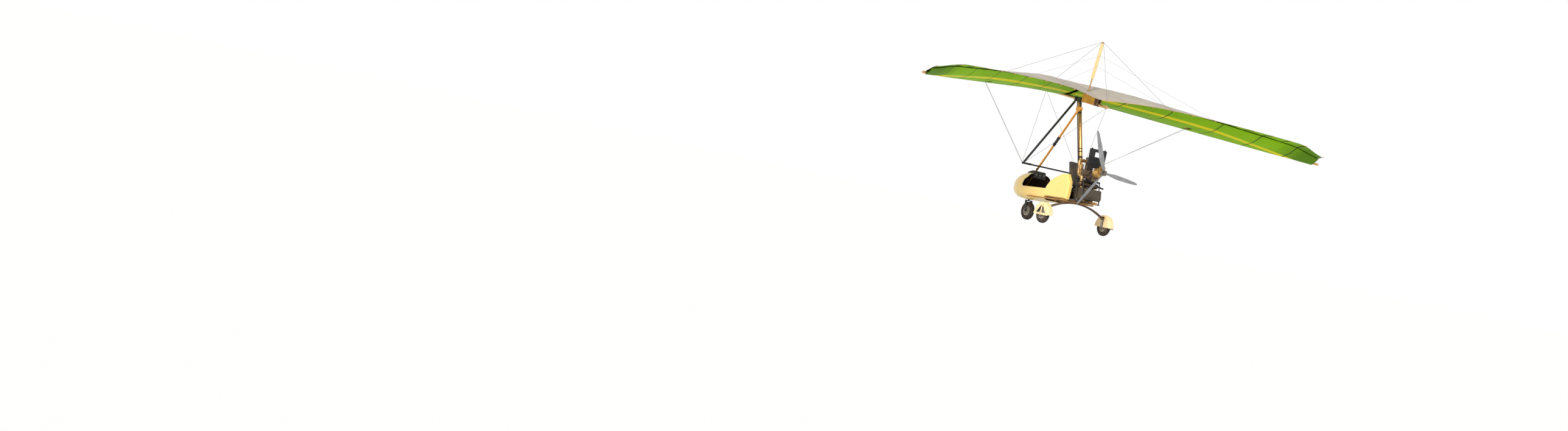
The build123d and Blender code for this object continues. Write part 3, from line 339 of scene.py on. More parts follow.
def casting(name, colour, dark, rough=0.5):
    """Sand-cast alloy, darkened with oil and heat in patches."""
    f = Finish(name, rough, 0.7)
    oily = f.reach(f.noise(14.0, 6), 0.42, 0.68)
    f.colour(f.blend(oily, colour, dark))
    f.roughness(f.noise(30.0, 4), rough - 0.12, rough + 0.18)
    f.relief(f.noise(340.0, 3), 0.0008, 0.5)
    return f.material


def heated_steel(name, colour, rust):
    """Exhaust steel that has gone straw and brown with heat."""
    f = Finish(name, 0.45, 0.8)
    heat = f.noise(6.0, 5)
    blue = f.reach(f.noise(2.6, 2), 0.52, 0.66)
    warm = f.blend(f.reach(heat, 0.4, 0.7), colour, rust)
    f.colour(f.blend(blue, warm, (0.10, 0.08, 0.075)))
    f.roughness(heat, 0.34, 0.62)
    f.relief(f.noise(240.0, 4), 0.0005, 0.4)
    return f.material


def rubber(name, colour, dusty):
    """Matt rubber with dust rubbed into it."""
    f = Finish(name, 0.78)
    f.colour(f.blend(f.reach(f.noise(12.0, 6), 0.45, 0.75), colour, dusty))
    f.roughness(f.noise(30.0, 3), 0.66, 0.9)
    f.relief(f.noise(520.0, 3), 0.0005, 0.5)
    return f.material


def wire_rope(name):
    """Wire rope: slanting strands of dull, slightly greasy steel."""
    f = Finish(name, 0.42, 0.35)
    strands = f.bands(160.0, "DIAGONAL")
    f.colour(f.blend(strands, (0.07, 0.06, 0.055), (0.24, 0.22, 0.20)))
    f.roughness(f.noise(40.0, 3), 0.26, 0.48)
    f.relief(strands, 0.0005, 0.6)
    return f.material


# Sail
def smooth_step(rows, place):
    """A row of a table at a place between its rows, on a curve through them."""
    stops = [row[0] for row in rows]
    i = max(j for j in range(len(stops) - 1) if stops[j] <= place or j == 0)
    t = (place - stops[i]) / (stops[i + 1] - stops[i])
    before, after = rows[max(i - 1, 0)], rows[min(i + 2, len(rows) - 1)]
    values = []
    for a, b, c, d in zip(before[1:], rows[i][1:], rows[i + 1][1:], after[1:]):
        values.append(0.5 * (2 * b + (c - a) * t + (2 * a - 5 * b + 4 * c - d) * t * t
                             + (3 * b - a - 3 * c + d) * t ** 3))
    return values


def through(points, share):
    """A point at a share of the length of the smooth curve through flat points."""
    fine = []
    for i in range(len(points) - 1):
        a, b = points[max(i - 1, 0)], points[i]
        c, d = points[i + 1], points[min(i + 2, len(points) - 1)]
        for step in range(8):
            t = step / 8
            fine.append((b * 2 + (c - a) * t + (a * 2 - b * 5 + c * 4 - d) * t * t
                         + (b * 3 - a - c * 3 + d) * t ** 3) * 0.5)
    fine.append(points[-1])
    runs = [(q - p).length for p, q in zip(fine, fine[1:])]
    left = share * sum(runs)
    for p, q, run in zip(fine, fine[1:], runs):
        if left <= run:
            return p.lerp(q, left / run if run else 0)
        left -= run
    return fine[-1]


def sail_section(y):
    """Outer side of a sail section in the wing's frame, from the trailing edge round and under."""
    tail_x, tail_z, crest = smooth_step(TRAILING, y)
    nose_x = keel_nose - y * math.tan(sweep_back)
    nose_z = keel_over_bolt - y * math.tan(droop)
    chord = math.hypot(nose_x - tail_x, tail_z - nose_z)
    back = Vector((tail_x - nose_x, tail_z - nose_z)) / chord
    up = Vector((back.y, -back.x))
    wrap = min(nose_wrap, 0.16 * chord)
    nose = Vector((nose_x, nose_z))
    points = []
    for t, h in UPPER:
        height = max(crest * chord * h, 1.03 * wrap * math.sqrt(1 - t))
        points.append(nose + back * (t * chord) + up * height)
    longer = 1 / math.cos(sweep_back)
    for degrees in NOSE_ANGLES:
        a = math.radians(degrees)
        points.append(nose + back * (wrap * longer * math.cos(a)) + up * (wrap * math.sin(a)))
    points.append(nose + back * (under_flat * chord) + up * (-0.6 * wrap - 0.008 * chord))
    points.append(nose + back * (under_end * chord) + up * (crest * chord * 0.70 - 0.0145))
    return points


def new_piece(name, bm, *materials):
    """Turns a bmesh into a shown object with smooth faces."""
    for face in bm.faces:
        face.smooth = True
    mesh = bpy.data.meshes.new(name)
    bm.to_mesh(mesh)
    bm.free()
    made = bpy.data.objects.new(name, mesh)
    bpy.context.scene.collection.objects.link(made)
    for material in materials:
        mesh.materials.append(material)
    return made


def cloth_grid(across, along, shape):
    """A grid of cloth with its own UV map, each point put where shape(u, v) says."""
    bm = bmesh.new()
    bm.loops.layers.uv.new("cloth")
    bmesh.ops.create_grid(bm, x_segments=across, y_segments=along, size=1, calc_uvs=True)
    for vert in bm.verts:
        vert.co = shape((vert.co.x + 1) / 2, (vert.co.y + 1) / 2)
    return bm


def thicken(piece, thickness, inner=0):
    """Gives cloth a thickness inwards, with its own material on the inner side."""
    wall = piece.modifiers.new("thickness", "SOLIDIFY")
    wall.thickness = thickness
    wall.offset = -1.0
    wall.material_offset = inner
    wall.use_even_offset = True


tip_y = TRAILING[-1][0]


def sail_half(name, side, over, under, node):
    """Half of the sail: cloth pulled over the battens, round the leading edge and under."""
    cloth_thickness, edge_line = 0.0012, 0.612
    columns = {}

    def shape(u, v):
        y = root_y + u * (tip_y - root_y)
        key = round(u, 5)
        if key not in columns:
            columns[key] = sail_section(y)
        p = through(columns[key], v)
        between = 0.0
        for a, b in zip(TRAILING, TRAILING[1:]):
            if a[0] <= y <= b[0]:
                between = math.sin(math.pi * (y - a[0]) / (b[0] - a[0])) ** 2
        p.y += 0.004 * between * math.sin(math.pi * min(v / 0.6, 1.0))
        p.x += 0.016 * between * max(0.0, 1 - v / 0.12)
        return hang_turn @ Vector((p.x, side * y, p.y))

    bm = cloth_grid(88, 60, shape)
    to_wing = hang_turn.inverted()
    edge = node_y * math.tan(sweep_back)
    gone = []
    for face in bm.faces:
        p = to_wing @ face.calc_center_median()
        y = abs(p.y)
        under_nose = p.x > keel_nose - 0.31 and y < 0.196 and p.z < keel_over_bolt + keel_r + 0.010
        at_stay = keel_nose - edge - 0.21 < p.x < keel_nose - edge - 0.034 and p.z < 0.04
        at_stay = at_stay and node_y - 0.12 < y < node_y + 0.04
        if under_nose or at_stay:
            gone.append(face)
    bmesh.ops.delete(bm, geom=gone, context="FACES")
    if side > 0:
        bmesh.ops.reverse_faces(bm, faces=bm.faces)
    layer = bm.loops.layers.uv["cloth"]
    for face in bm.faces:
        v = sum(loop[layer].uv.y for loop in face.loops) / len(face.loops)
        face.material_index = 0 if v < edge_line else 1
    area = sum(face.calc_area() for face in bm.faces)
    piece = new_piece(name, bm, over, under, under)
    thicken(piece, cloth_thickness, inner=1)
    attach(piece, "wing")
    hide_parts(node)


def root_line(x):
    """Height of the sail's top at its root, in the wing's frame."""
    section = sail_section(root_y)[:len(UPPER)]
    low, high = 0.0, 1.0
    for _ in range(24):
        middle = (low + high) / 2
        if through(section, middle).x < x:
            low = middle
        else:
            high = middle
    return through(section, low).y


def root_strip(over):
    """The panel over the keel that joins both halves, with its hole for the kingpost."""
    section = sail_section(root_y)[:len(UPPER)]
    post_x, hole_half = -0.176, 0.03

    def shape(u, v):
        p = through(section, u)
        y = (v * 2 - 1) * (root_y - 0.0004)
        return hang_turn @ Vector((p.x, y, p.y + 0.003 * (1 - (y / root_y) ** 2)))

    bm = cloth_grid(70, 6, shape)
    to_wing = hang_turn.inverted()
    gone = []
    for face in bm.faces:
        p = to_wing @ face.calc_center_median()
        if abs(p.x - post_x) < hole_half and abs(p.y) < hole_half:
            gone.append(face)
    bmesh.ops.delete(bm, geom=gone, context="FACES")
    area = sum(face.calc_area() for face in bm.faces)
    piece = new_piece("root_strip", bm, over)
    thicken(piece, 0.0012)
    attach(piece, "wing")
    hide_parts("sail_root_strip")


def pocket(cloth):
    """The keel pocket: a cloth trough round the keel, sewn up to the sail."""
    low = keel_over_bolt - keel_r - 0.006
    half = keel_r + 0.006
    start, end = -0.620, -0.076

    def shape(u, v):
        lean = 0.020 * (1 - u)
        x = start + u * (end - start)
        top = root_line(x) - 0.0046
        sides = [Vector((-half, top)), Vector((-half - 0.001, (top + low) / 2)), Vector((-half, low + 0.012)),
                 Vector((-half + 0.010, low)), Vector((0, low - 0.001)), Vector((half - 0.010, low)),
                 Vector((half, low + 0.012)), Vector((half + 0.001, (top + low) / 2)), Vector((half, top))]
        p = through(sides, v)
        rise = (p.y - low) / max(top - low, 0.01)
        return hang_turn @ Vector((x - lean * rise * 0.5, p.x, p.y))

    bm = cloth_grid(24, 40, shape)
    area = sum(face.calc_area() for face in bm.faces)
    bmesh.ops.recalc_face_normals(bm, faces=bm.faces)
    middle = hang_turn @ Vector((-0.35, 0, low))
    under = min(bm.faces, key=lambda f: (f.calc_center_median() - middle).length)
    under.normal_update()
    if under.normal.z > 0:
        bmesh.ops.reverse_faces(bm, faces=bm.faces)
    piece = new_piece("keel_pocket_cloth", bm, cloth)
    thicken(piece, 0.0016)
    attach(piece, "wing")
    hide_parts("keel_pocket")


def sail_cloths():
    """Pale cloth for the top, green for the underside with its long yellow stripe, painted shade and painted
    batten shadows.
    """
    stations = [(row[0] - root_y) / (tip_y - root_y) for row in TRAILING[1:-1]]
    made = []
    for name, side_up in (("sail_over", True), ("sail_under", False)):
        f = Finish(name, 0.66, Specular_IOR_Level=0.15)
        uv = f.node("ShaderNodeUVMap")
        uv.uv_map = "cloth"
        parts = f.node("ShaderNodeSeparateXYZ")
        f.join(uv.outputs[0], parts.inputs[0])
        u, v = parts.outputs[0], parts.outputs[1]
        space = f.node("ShaderNodeSeparateXYZ")
        f.join(f.place, space.inputs[0])
        off = f.sum("ABSOLUTE", space.outputs[1], 0.0)

        def lines(places, half):
            nearest = None
            for place in places:
                away = f.sum("ABSOLUTE", f.sum("SUBTRACT", u, place), 0.0)
                nearest = away if nearest is None else f.sum("MINIMUM", nearest, away)
            return f.reach(nearest, half, half * 1.6, 1.0, 0.0)

        near_tail = f.reach(v, 0.10, 0.13, 1.0, 0.0)
        # Lines along every other batten for the full chord, and along the rest near the trailing edge: on the
        # top they are the batten pockets, on the underside they are painted batten shadows.
        long_ones = lines(stations[1::2], 0.0018)
        short_ones = f.sum("MULTIPLY", lines(stations[0::2], 0.0018), near_tail)
        battens = f.sum("MAXIMUM", long_ones, short_ones)
        weave = f.sum("MULTIPLY", f.bands(300.0, "X"), f.bands(300.0, "Y"))
        clouds = f.noise(1.6, 4)
        folds = f.noise(5.0, 4, f.stretched((0.35, 2.4, 1.0)))
        edge = f.sum("LESS_THAN", f.sum("ABSOLUTE", f.sum("SUBTRACT", v, 0.613), 0.0), 0.0065)
        hem = f.sum("LESS_THAN", v, 0.010)
        if side_up:
            plain = f.blend(f.reach(clouds, 0.3, 0.75), srgb(178, 170, 158), srgb(160, 151, 140))
            lined = f.blend(f.sum("MULTIPLY", battens, 0.45), plain, srgb(120, 108, 96))
            hem_pockets_and_batten_shadows = f.blend(hem, lined, srgb(186, 150, 118))
        else:
            plain = f.blend(f.reach(clouds, 0.3, 0.75), srgb(134, 184, 0), srgb(118, 166, 0))
            # Painted shade: the green darkens just behind the leading edge inboard of the side stays, where
            # the lower skin turns up, and it also darkens towards the tips.
            tip = f.reach(off, 4.1, 4.6)
            inboard = f.sum("MULTIPLY", f.reach(off, 2.5, 2.2), f.reach(v, 0.70, 0.62))
            painted_shade = f.sum("MAXIMUM", tip, f.sum("MULTIPLY", inboard, 0.6))
            shaded = f.blend(painted_shade, plain, srgb(82, 126, 0))
            swept = f.sum("SUBTRACT", 0.610, f.sum("MULTIPLY", off, 0.415))
            eased = f.sum("MULTIPLY", f.sum("MAXIMUM", f.sum("SUBTRACT", off, 2.85), 0.0), 0.125)
            middle = f.sum("ADD", swept, eased)
            away = f.sum("ABSOLUTE", f.sum("SUBTRACT", space.outputs[0], middle), 0.0)
            stripe = f.reach(away, 0.040, 0.052, 1.0, 0.0)
            striped = f.blend(stripe, shaded, srgb(214, 204, 22))
            # Painted shadows of the battens: dark lines across the green underside.
            hem_pockets_and_batten_shadows = f.blend(f.sum("MULTIPLY", battens, 0.85), striped, srgb(38, 58, 12))
        f.colour(f.blend(edge, hem_pockets_and_batten_shadows, srgb(150, 84, 34)))
        f.roughness(f.noise(9.0, 3), 0.52, 0.74)
        height = f.sum("ADD", f.sum("MULTIPLY", weave, 0.10), folds)
        height = f.sum("ADD", height, f.sum("MULTIPLY", battens, 0.35))
        f.relief(height, 0.004, 0.35)
        made.append(f.material)
    return made


def pocket_finish():
    """Amber cloth with its folds, with painted shade towards the open back end."""
    f = Finish("pocket_cloth_amber", 0.66, Sheen_Weight=0.15)
    folds = f.noise(7.0, 5, f.stretched((0.6, 1.0, 2.2)))
    plain = f.blend(f.reach(folds, 0.35, 0.7), srgb(246, 172, 58), srgb(214, 138, 40))
    space = f.node("ShaderNodeSeparateXYZ")
    f.join(f.place, space.inputs[0])
    # Painted shade: the cloth darkens towards the open back end round the keel.
    rear_painted_shade = f.reach(space.outputs[0], axle_x + 0.130, axle_x + 0.105)
    f.colour(f.blend(rear_painted_shade, plain, srgb(92, 58, 34)))
    f.roughness(f.noise(20.0, 3), 0.55, 0.78)
    weave = f.sum("MULTIPLY", f.bands(260.0, "X"), f.bands(260.0, "Z"))
    f.relief(f.sum("ADD", f.sum("MULTIPLY", weave, 0.2), folds), 0.003, 0.4)
    return f.material


# Seats
def turned(middle, lean=0.0):
    """Where a cushion lies: its middle, and its lean about the line across the seat."""
    return Matrix.Translation(middle) @ Matrix.Rotation(lean, 4, "Y")


def blown_up(piece, cap):
    """Runs cloth with pressure on the piece and keeps the result, no point moved past the cap."""
    pressure, frames = 4.0, 16
    scene = bpy.context.scene
    before = [v.co.copy() for v in piece.data.vertices]
    cloth = piece.modifiers.new("stuffing", "CLOTH")
    cloth.settings.use_pressure = True
    cloth.settings.uniform_pressure_force = pressure
    cloth.settings.effector_weights.gravity = 0.0
    cloth.settings.quality = 4
    for number in range(1, frames + 1):
        scene.frame_set(number)
    settled = piece.evaluated_get(bpy.context.evaluated_depsgraph_get())
    after = [v.co.copy() for v in settled.data.vertices]
    piece.modifiers.remove(cloth)
    scene.frame_set(1)
    for vert, a, b in zip(piece.data.vertices, before, after):
        step = b - a
        if step.length > cap:
            step *= cap / step.length
        vert.co = a + step


def stuffed(name, size, place, channels, finish, node, body="trike"):
    """A seat cushion: a rounded box, remeshed, blown up, then sewn down in its channels."""
    inset, channel, seam = 0.010, 0.014, 0.006
    bm = bmesh.new()
    bmesh.ops.create_cube(bm, size=1)
    bmesh.ops.scale(bm, verts=bm.verts, vec=[s - 2 * inset for s in size])
    bmesh.ops.bevel(bm, geom=bm.edges[:], offset=min(size) * 0.26, segments=3, profile=0.5,
                    affect="EDGES", material=-1)
    piece = new_piece(name, bm, finish)
    piece.data.remesh_voxel_size = 0.007
    bpy.context.view_layer.objects.active = piece
    piece.select_set(True)
    bpy.ops.object.voxel_remesh()
    blown_up(piece, inset)
    bm = bmesh.new()
    bm.from_mesh(piece.data)
    for vert in bm.verts:
        for across in channels:
            away = abs(vert.co.x - across)
            if away < channel:
                vert.co.z *= 1 - 0.16 * (1 - away / channel) ** 2
        welt = abs(abs(vert.co.z) - size[2] * 0.10)
        if welt < seam and (abs(vert.co.x) > size[0] * 0.44 or abs(vert.co.y) > size[1] * 0.44):
            vert.co.x *= 1 - 0.010 * (1 - welt / seam)
            vert.co.y *= 1 - 0.010 * (1 - welt / seam)
    for face in bm.faces:
        face.smooth = True
    bm.to_mesh(piece.data)
    bm.free()
    piece.data.transform(place)
    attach(piece, body)
    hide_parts(node)


def seat_finish():
    """Worn dark woven cloth."""
    f = Finish("seat_cordura", 0.8, Sheen_Weight=0.25)
    worn = f.reach(f.noise(6.0, 5), 0.45, 0.75)
    f.colour(f.blend(worn, srgb(48, 42, 34), srgb(82, 70, 54)))
    f.roughness(f.noise(30.0, 3), 0.7, 0.92)
    weave = f.sum("MULTIPLY", f.bands(230.0, "Y"), f.bands(230.0, "DIAGONAL"))
    f.relief(f.sum("ADD", weave, f.noise(40.0, 4)), 0.0015, 0.5)
    return f.material


def seats(finish):
    stuffed("front_seat_pan", (0.40, 0.362, 0.080), turned((axle_x + 0.724, 0, 0.660), 0.085),
            (-0.10, 0.0, 0.10), finish, "front_seat")
    stuffed("front_seat_back", (0.084, 0.362, 0.385), turned((axle_x + 0.524, 0, 0.842), -0.08),
            (), finish, "front_seat")
    stuffed("rear_seat_pan", (0.33, 0.372, 0.066), turned((axle_x + 0.282, 0, 0.784), 0.02),
            (-0.08, 0.06), finish, "rear_seat")
    stuffed("rear_seat_back", (0.100, 0.372, 0.540), turned((axle_x + 0.226, 0, 1.082), 0.34),
            (), finish, "rear_seat")


# Wheels
def grooved_tyre(name, x, y, body, node, finish):
    """A tyre spun from its section: bead, soft sidewall with two rings and a ribbed crown."""
    section = [(0.1006, -0.034), (0.122, -0.047), (0.134, -0.0485), (0.137, -0.0500), (0.148, -0.0498),
               (0.151, -0.0486), (0.160, -0.0470), (0.168, -0.0420), (0.1745, -0.0350), (0.1780, -0.0290),
               (0.1795, -0.0240), (0.1765, -0.0228), (0.1765, -0.0202), (0.1808, -0.0190),
               (0.1815, -0.0080), (0.1780, -0.0070), (0.1780, -0.0030), (0.1820, -0.0018)]
    section = section + [(r, -w) for r, w in reversed(section)]
    bm = bmesh.new()
    ring = [bm.verts.new((r, w, 0)) for r, w in section]
    edges = [bm.edges.new((a, b)) for a, b in zip(ring, ring[1:] + ring[:1])]
    bmesh.ops.spin(bm, geom=ring + edges, cent=(0, 0, 0), axis=(0, 1, 0), angle=2 * math.pi,
                   steps=88, use_merge=True)
    bmesh.ops.recalc_face_normals(bm, faces=bm.faces)
    bmesh.ops.translate(bm, verts=bm.verts, vec=(axle_x + x, y, wheel_r))
    piece = new_piece(name, bm, finish)
    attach(piece, body)
    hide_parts(node)


# Shells and metal taken over from the solids
def dressed(node, finish, bevel=0.0, sharp=35.0, lining=None, heart=None, edging=None):
    """A merged copy of a solid with soft edges; faces towards its heart get the lining."""
    bm = bmesh.new()
    bm.from_mesh(nodes[node].data)
    bmesh.ops.remove_doubles(bm, verts=bm.verts, dist=0.00002)
    bmesh.ops.dissolve_limit(bm, angle_limit=math.radians(0.6), verts=bm.verts, edges=bm.edges)
    for edge in bm.edges:
        faces = edge.link_faces
        if len(faces) == 2:
            edge.smooth = edge.calc_face_angle(0.0) < math.radians(sharp)
    finishes = [finish]
    if lining:
        finishes += [lining, edging or finish]
        for face in bm.faces:
            facing = face.normal.dot((face.calc_center_median() - Vector(heart)).normalized())
            if facing < -0.25:
                face.material_index = 1
            elif facing < 0.25:
                face.material_index = 2
    piece = new_piece(node + "_dressed", bm, *finishes)
    if bevel:
        soft = piece.modifiers.new("soft_edges", "BEVEL")
        soft.width = bevel
        soft.segments = 2
        soft.limit_method = "ANGLE"
        soft.angle_limit = math.radians(sharp)
        soft.harden_normals = False
        soft.use_clamp_overlap = True
    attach(piece, nodes[node]["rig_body"])
    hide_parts(node)


def painted(finish, *names):
    """Gives CAD nodes a finish in every slot."""
    for name in names:
        slots = nodes[name].data.materials
        if not slots:
            slots.append(finish)
        for i in range(len(slots)):
            slots[i] = finish


# Small fittings
def bolts(name, spots, way, body, finish, size=0.007):
    """Hexagon heads on washers, all pointing one way."""
    turn = Vector(way).to_track_quat("Z", "Y").to_matrix().to_4x4()
    bm = bmesh.new()
    for spot in spots:
        place = Matrix.Translation(spot) @ turn
        washer, head = 0.0016, 0.0016 + size * 0.7
        for sides, radius, low, high in ((24, size * 1.5, 0.0, washer), (6, size, washer - 0.0002, head),
                                         (16, size * 0.55, head - 0.0002, head + size * 0.4)):
            made = bmesh.ops.create_cone(bm, cap_ends=True, segments=sides, radius1=radius,
                                         radius2=radius * 0.96, depth=high - low)
            bmesh.ops.translate(bm, verts=made["verts"], vec=(0, 0, (low + high) / 2))
            bmesh.ops.transform(bm, verts=made["verts"], matrix=place)
    piece = new_piece(name, bm, finish)
    piece.modifiers.new("flats", "EDGE_SPLIT")
    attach(piece, body)


def ring_of(count, middle, radius, start=0.0, across="X"):
    """Places round a circle that faces along X or Y."""
    spots = []
    for i in range(count):
        a = start + 2 * math.pi * i / count
        step = (0, radius * math.cos(a), radius * math.sin(a))
        if across == "Y":
            step = (radius * math.cos(a), 0, radius * math.sin(a))
        spots.append(Vector(middle) + Vector(step))
    return spots


def bolt_sets(finish):
    """Bolts of the propeller hub, the gearbox cover, the leg plates and the wheels."""
    hub, cover = (axle_x + prop_x - 0.030, 0, prop_z), (axle_x - 0.4703, 0, prop_z - 0.030)
    back = (-1, 0, 0)
    bolts("hub_bolts", ring_of(6, hub, 0.040, math.radians(30)), back, "propeller", finish, 0.006)
    bolts("cover_bolts", ring_of(8, cover, 0.091, 0.3), back, "trike", finish, 0.005)
    for name, y, side in (("left", track / 2, 1), ("right", -track / 2, -1)):
        face = y + side * 0.014
        spots = ring_of(5, (axle_x, face, wheel_r), 0.046, math.radians(54), "Y")
        bolts(name + "_wheel_bolts", spots, (0, side, 0), "main_wheel_" + name, finish, 0.005)
        inner = side * (track / 2 - 0.074)
        bolts(name + "_leg_bolts", [(axle_x + x, inner, z) for x in (-0.018, 0.018) for z in (0.225, 0.262)],
              (0, -side, 0), "trike", finish, 0.006)
    spots = ring_of(5, (axle_x + wheelbase, 0.014, wheel_r), 0.046, math.radians(54), "Y")
    bolts("nose_wheel_bolts", spots, (0, 1, 0), "nose_wheel", finish, 0.005)


def luff_lines(finish):
    """Thin lines from the kingpost down to the trailing edge, two on each side."""
    post_way = Vector((-math.sin(post_lean), 0, math.cos(post_lean)))
    bm = bmesh.new()
    for height, row in ((0.92, TRAILING[5]), (0.70, TRAILING[3])):
        for side in (1, -1):
            start = post_foot + post_way * height + Vector((-0.046, side * 0.004, 0))
            end = Vector((row[1] + 0.012, side * row[0], row[2] + 0.004))
            run = end - start
            made = bmesh.ops.create_cone(bm, cap_ends=True, segments=8, radius1=0.0013, radius2=0.0013,
                                         depth=run.length)
            turn = run.to_track_quat("Z", "Y").to_matrix().to_4x4()
            place = hang_turn @ Matrix.Translation((start + end) / 2) @ turn
            bmesh.ops.transform(bm, verts=made["verts"], matrix=place)
    piece = new_piece("luff_lines", bm, finish)
    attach(piece, "wing")


def batten_caps(finish):
    """A moulded cap over each batten's end, behind the sail."""
    behind, below = 0.044, 0.0083   # from the sail's end to the cap's middle
    bm = bmesh.new()
    for row in TRAILING[1:]:
        section = sail_section(row[0])
        way = (section[0] - section[1]).normalized()
        square = Vector((-way.y, way.x))
        if square.y > 0:
            square = -square
        middle = section[0] + way * behind + square * below
        for side in (1, -1):
            made = bmesh.ops.create_cone(bm, cap_ends=True, segments=12, radius1=0.0075, radius2=0.0060,
                                         depth=0.028)
            turn = Vector((way.x, 0, way.y)).to_track_quat("Z", "Y").to_matrix().to_4x4()
            place = hang_turn @ Matrix.Translation((middle.x, side * row[0], middle.y)) @ turn
            bmesh.ops.transform(bm, verts=made["verts"], matrix=place)
    piece = new_piece("batten_caps", bm, finish)
    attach(piece, "wing")


def mast_bands(finish):
    """Dark straps round the mast, each at its share of the mast's length."""
    radius = mast_r + 0.0018
    turn = (hang_bolt - mast_foot).to_track_quat("Z", "Y").to_matrix().to_4x4()
    bm = bmesh.new()
    for share, length in ((0.44, 0.050), (0.50, 0.022), (0.53, 0.022), (0.90, 0.030)):
        made = bmesh.ops.create_cone(bm, cap_ends=True, segments=48, radius1=radius, radius2=radius,
                                     depth=length)
        place = Matrix.Translation(mast_foot.lerp(hang_bolt, share)) @ turn
        bmesh.ops.transform(bm, verts=made["verts"], matrix=place)
    piece = new_piece("mast_bands", bm, finish)
    piece.modifiers.new("flats", "EDGE_SPLIT")
    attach(piece, "trike")


def dial_faces():
    """Round faces for the three dials: a scale of ticks and a needle, no figures."""
    f = Finish("dial_faces", 0.3, Coat_Weight=0.6, Coat_Roughness=0.05)
    uv = f.node("ShaderNodeUVMap")
    uv.uv_map = "dial"
    parts = f.node("ShaderNodeSeparateXYZ")
    f.join(uv.outputs[0], parts.inputs[0])
    across = f.sum("SUBTRACT", parts.outputs[0], 0.5)
    up = f.sum("SUBTRACT", parts.outputs[1], 0.5)
    radius = f.sum("SQRT", f.sum("ADD", f.sum("MULTIPLY", across, across), f.sum("MULTIPLY", up, up)), 0.0)
    angle = f.sum("ARCTAN2", up, across)
    turns = f.sum("FRACT", f.sum("MULTIPLY", angle, 20 / (2 * math.pi)), 0.0)
    tick = f.sum("LESS_THAN", f.sum("ABSOLUTE", f.sum("SUBTRACT", turns, 0.5), 0.0), 0.13)
    outer = f.sum("MULTIPLY", f.sum("GREATER_THAN", radius, 0.36), f.sum("LESS_THAN", radius, 0.45))
    off_needle = f.sum("ABSOLUTE", f.sum("SUBTRACT", f.sum("MULTIPLY", up, 0.8), across), 0.0)
    needle = f.sum("LESS_THAN", off_needle, 0.018)
    inside = f.sum("MULTIPLY", f.sum("LESS_THAN", radius, 0.34), f.sum("GREATER_THAN", up, -0.06))
    marks = f.sum("MAXIMUM", f.sum("MULTIPLY", tick, outer), f.sum("MULTIPLY", needle, inside))
    dusty = f.blend(f.noise(60.0, 3), srgb(20, 20, 22), srgb(34, 33, 34))
    f.colour(f.blend(marks, dusty, srgb(226, 222, 210)))
    panel_foot = (axle_x + 1.395, 0.858)
    panel_lean, proud = 30 / 134, 0.0034
    bm = bmesh.new()
    bm.loops.layers.uv.new("dial")
    layer = bm.loops.layers.uv["dial"]
    for y, z, r in ((-0.095, 0.925, 0.034), (0, 0.925, 0.030), (0.095, 0.925, 0.034)):
        back = panel_foot[0] + (z - panel_foot[1]) * panel_lean - proud
        made = bmesh.ops.create_cone(bm, cap_ends=True, segments=40, radius1=r - 0.0042, radius2=r - 0.0042,
                                     depth=0.0008)
        bmesh.ops.transform(bm, verts=made["verts"], matrix=Matrix.Translation((back, y, z))
                            @ Matrix.Rotation(-math.pi / 2, 4, "Y"))
        for face in {face for vert in made["verts"] for face in vert.link_faces}:
            for loop in face.loops:
                loop[layer].uv = (0.5 - (loop.vert.co.y - y) / (2 * r), 0.5 + (loop.vert.co.z - z) / (2 * r))
    piece = new_piece("dial_faces", bm, f.material)
    piece.modifiers.new("flats", "EDGE_SPLIT")
    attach(piece, "trike")


photographers_camera()
sky_and_lamp()
studio_floor()

cream = gelcoat("pod_gelcoat", srgb(250, 214, 126), srgb(214, 176, 104))
spat_cream = gelcoat("spat_gelcoat", srgb(244, 216, 164), srgb(196, 160, 112))
post_cream = gelcoat("post_gelcoat", srgb(244, 202, 140), srgb(206, 162, 104))
gold = anodised("strut_gold", srgb(240, 168, 76), srgb(246, 204, 150))
tan = anodised("mast_tan", srgb(190, 142, 84), srgb(222, 186, 136))
wing_tan = anodised("wing_tube_tan", srgb(206, 164, 110), srgb(228, 196, 150))
black = powder_coat("frame_black", srgb(30, 28, 30), srgb(96, 88, 82))
leaf = powder_coat("leaf_brown", srgb(92, 70, 54), srgb(60, 46, 36), 0.5)
dash = moulded("dash_black", srgb(34, 31, 30), srgb(58, 54, 50))
tank_black = moulded("tank_dark", srgb(58, 48, 36), srgb(82, 70, 52), 0.42, 420.0)
engine = casting("engine_alloy", srgb(112, 94, 78), srgb(36, 28, 22))
gear_gold = casting("gearbox_gold", srgb(206, 164, 96), srgb(120, 84, 40))
core = powder_coat("radiator_black", srgb(20, 19, 20), srgb(52, 48, 46), 0.6)
exhaust = heated_steel("exhaust_straw", srgb(196, 158, 108), srgb(140, 98, 60))
silencer = heated_steel("silencer_brown", srgb(96, 78, 62), srgb(56, 38, 28))
wheel_grey = moulded("wheel_nylon", srgb(150, 142, 132), srgb(182, 172, 158), 0.5, 300.0)
tread = rubber("tyre_black", srgb(48, 40, 36), srgb(92, 76, 62))
blade = moulded("blade_grey", srgb(120, 120, 124), srgb(146, 146, 150), 0.35, 500.0)
hub = casting("hub_alloy", srgb(140, 132, 124), srgb(60, 54, 50), 0.4)
batten = moulded("batten_dark", srgb(66, 50, 40), srgb(90, 70, 54))
steel = wire_rope("stay_steel")
bare = casting("bare_alloy", srgb(176, 170, 162), srgb(110, 102, 94), 0.35)
lining = moulded("shell_lining", srgb(62, 50, 40), srgb(92, 74, 58), 0.6, 180.0)
spat_lining = moulded("spat_inside", srgb(120, 104, 80), srgb(92, 78, 60), 0.6, 180.0)
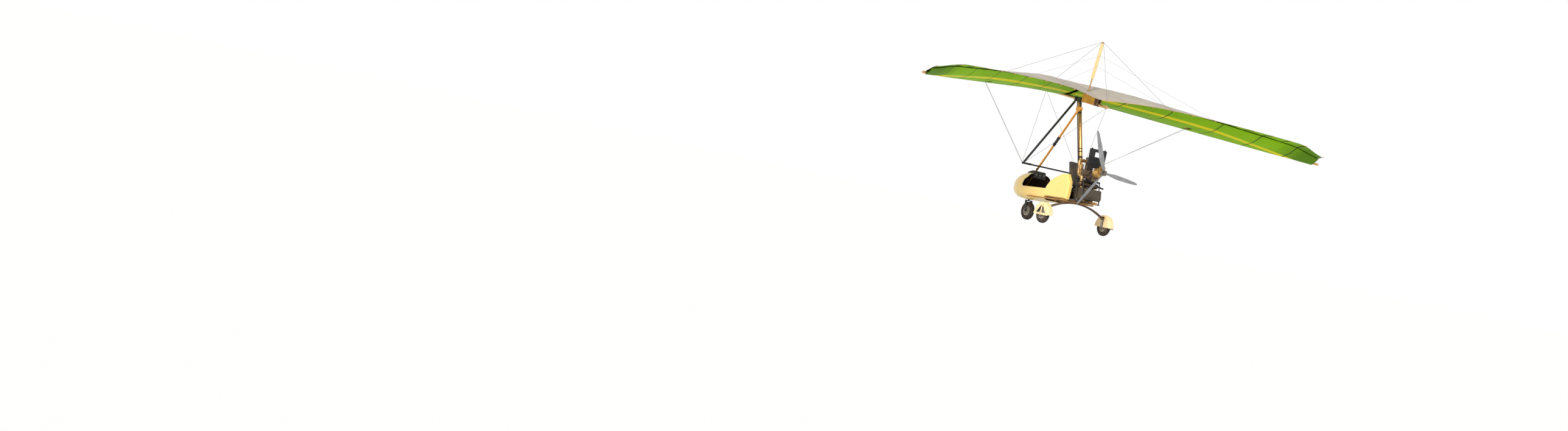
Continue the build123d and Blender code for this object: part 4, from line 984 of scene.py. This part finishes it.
zinc = casting("zinc_bolts", srgb(196, 186, 166), srgb(126, 112, 92), 0.34)
cap_orange = moulded("cap_orange", srgb(206, 120, 50), srgb(224, 150, 84), 0.5, 400.0)
over, under = sail_cloths()
amber = pocket_finish()
cloth_black = seat_finish()

painted(tan, "mast", "mast_head", "base_tube", "side_rails")
painted(gold, "front_strut")
painted(black, "strut_sleeve", "downtubes", "base_bar", "nose_fork", "foot_bar", "apex_bracket",
        "hang_block", "engine_mount")
painted(leaf, "gear_bow")
painted(bare, "stub_axle_left", "stub_axle_right", "seat_frame", "nose_plates")
painted(wing_tan, "keel_tube", "leading_edge_left", "leading_edge_right", "kingpost")
painted(dash, "instrument_panel")
painted(tank_black, "fuel_tank")
painted(engine, "crankcase", "cylinders", "carburettors")
painted(gear_gold, "gearbox")
painted(core, "radiator")
painted(exhaust, "exhaust_pipe")
painted(silencer, "muffler")
painted(wheel_grey, "nose_rim", "left_rim", "right_rim")
painted(blade, "propeller_blades")
painted(hub, "propeller_hub")
painted(batten, "battens_left", "battens_right")
painted(steel, "lower_stays", "upper_stays")
dressed("pod_fairing", cream, 0.0015, 35.0, lining, (axle_x + 1.3, 0, 0.66), tread)
for side, y in (("left", 1), ("right", -1)):
    dressed("side_panel_" + side, cream, 0.003, 20.0, lining, (axle_x + 0.3, y * 0.26, 0.78))
    dressed("spat_" + side, spat_cream, 0.001, 35.0, spat_lining, (axle_x, y * track / 2, wheel_r))
dressed("kingpost_fairing", post_cream, 0.001)

sail_half("sail_cloth_left", 1, over, under, "sail_left")
sail_half("sail_cloth_right", -1, over, under, "sail_right")
root_strip(over)
pocket(amber)
seats(cloth_black)
grooved_tyre("nose_tyre_ribbed", wheelbase, 0, "nose_wheel", "nose_tyre", tread)
grooved_tyre("left_tyre_ribbed", 0, track / 2, "main_wheel_left", "left_tyre", tread)
grooved_tyre("right_tyre_ribbed", 0, -track / 2, "main_wheel_right", "right_tyre", tread)

bolt_sets(zinc)
luff_lines(steel)
batten_caps(cap_orange)
dial_faces()
mast_bands(tread)
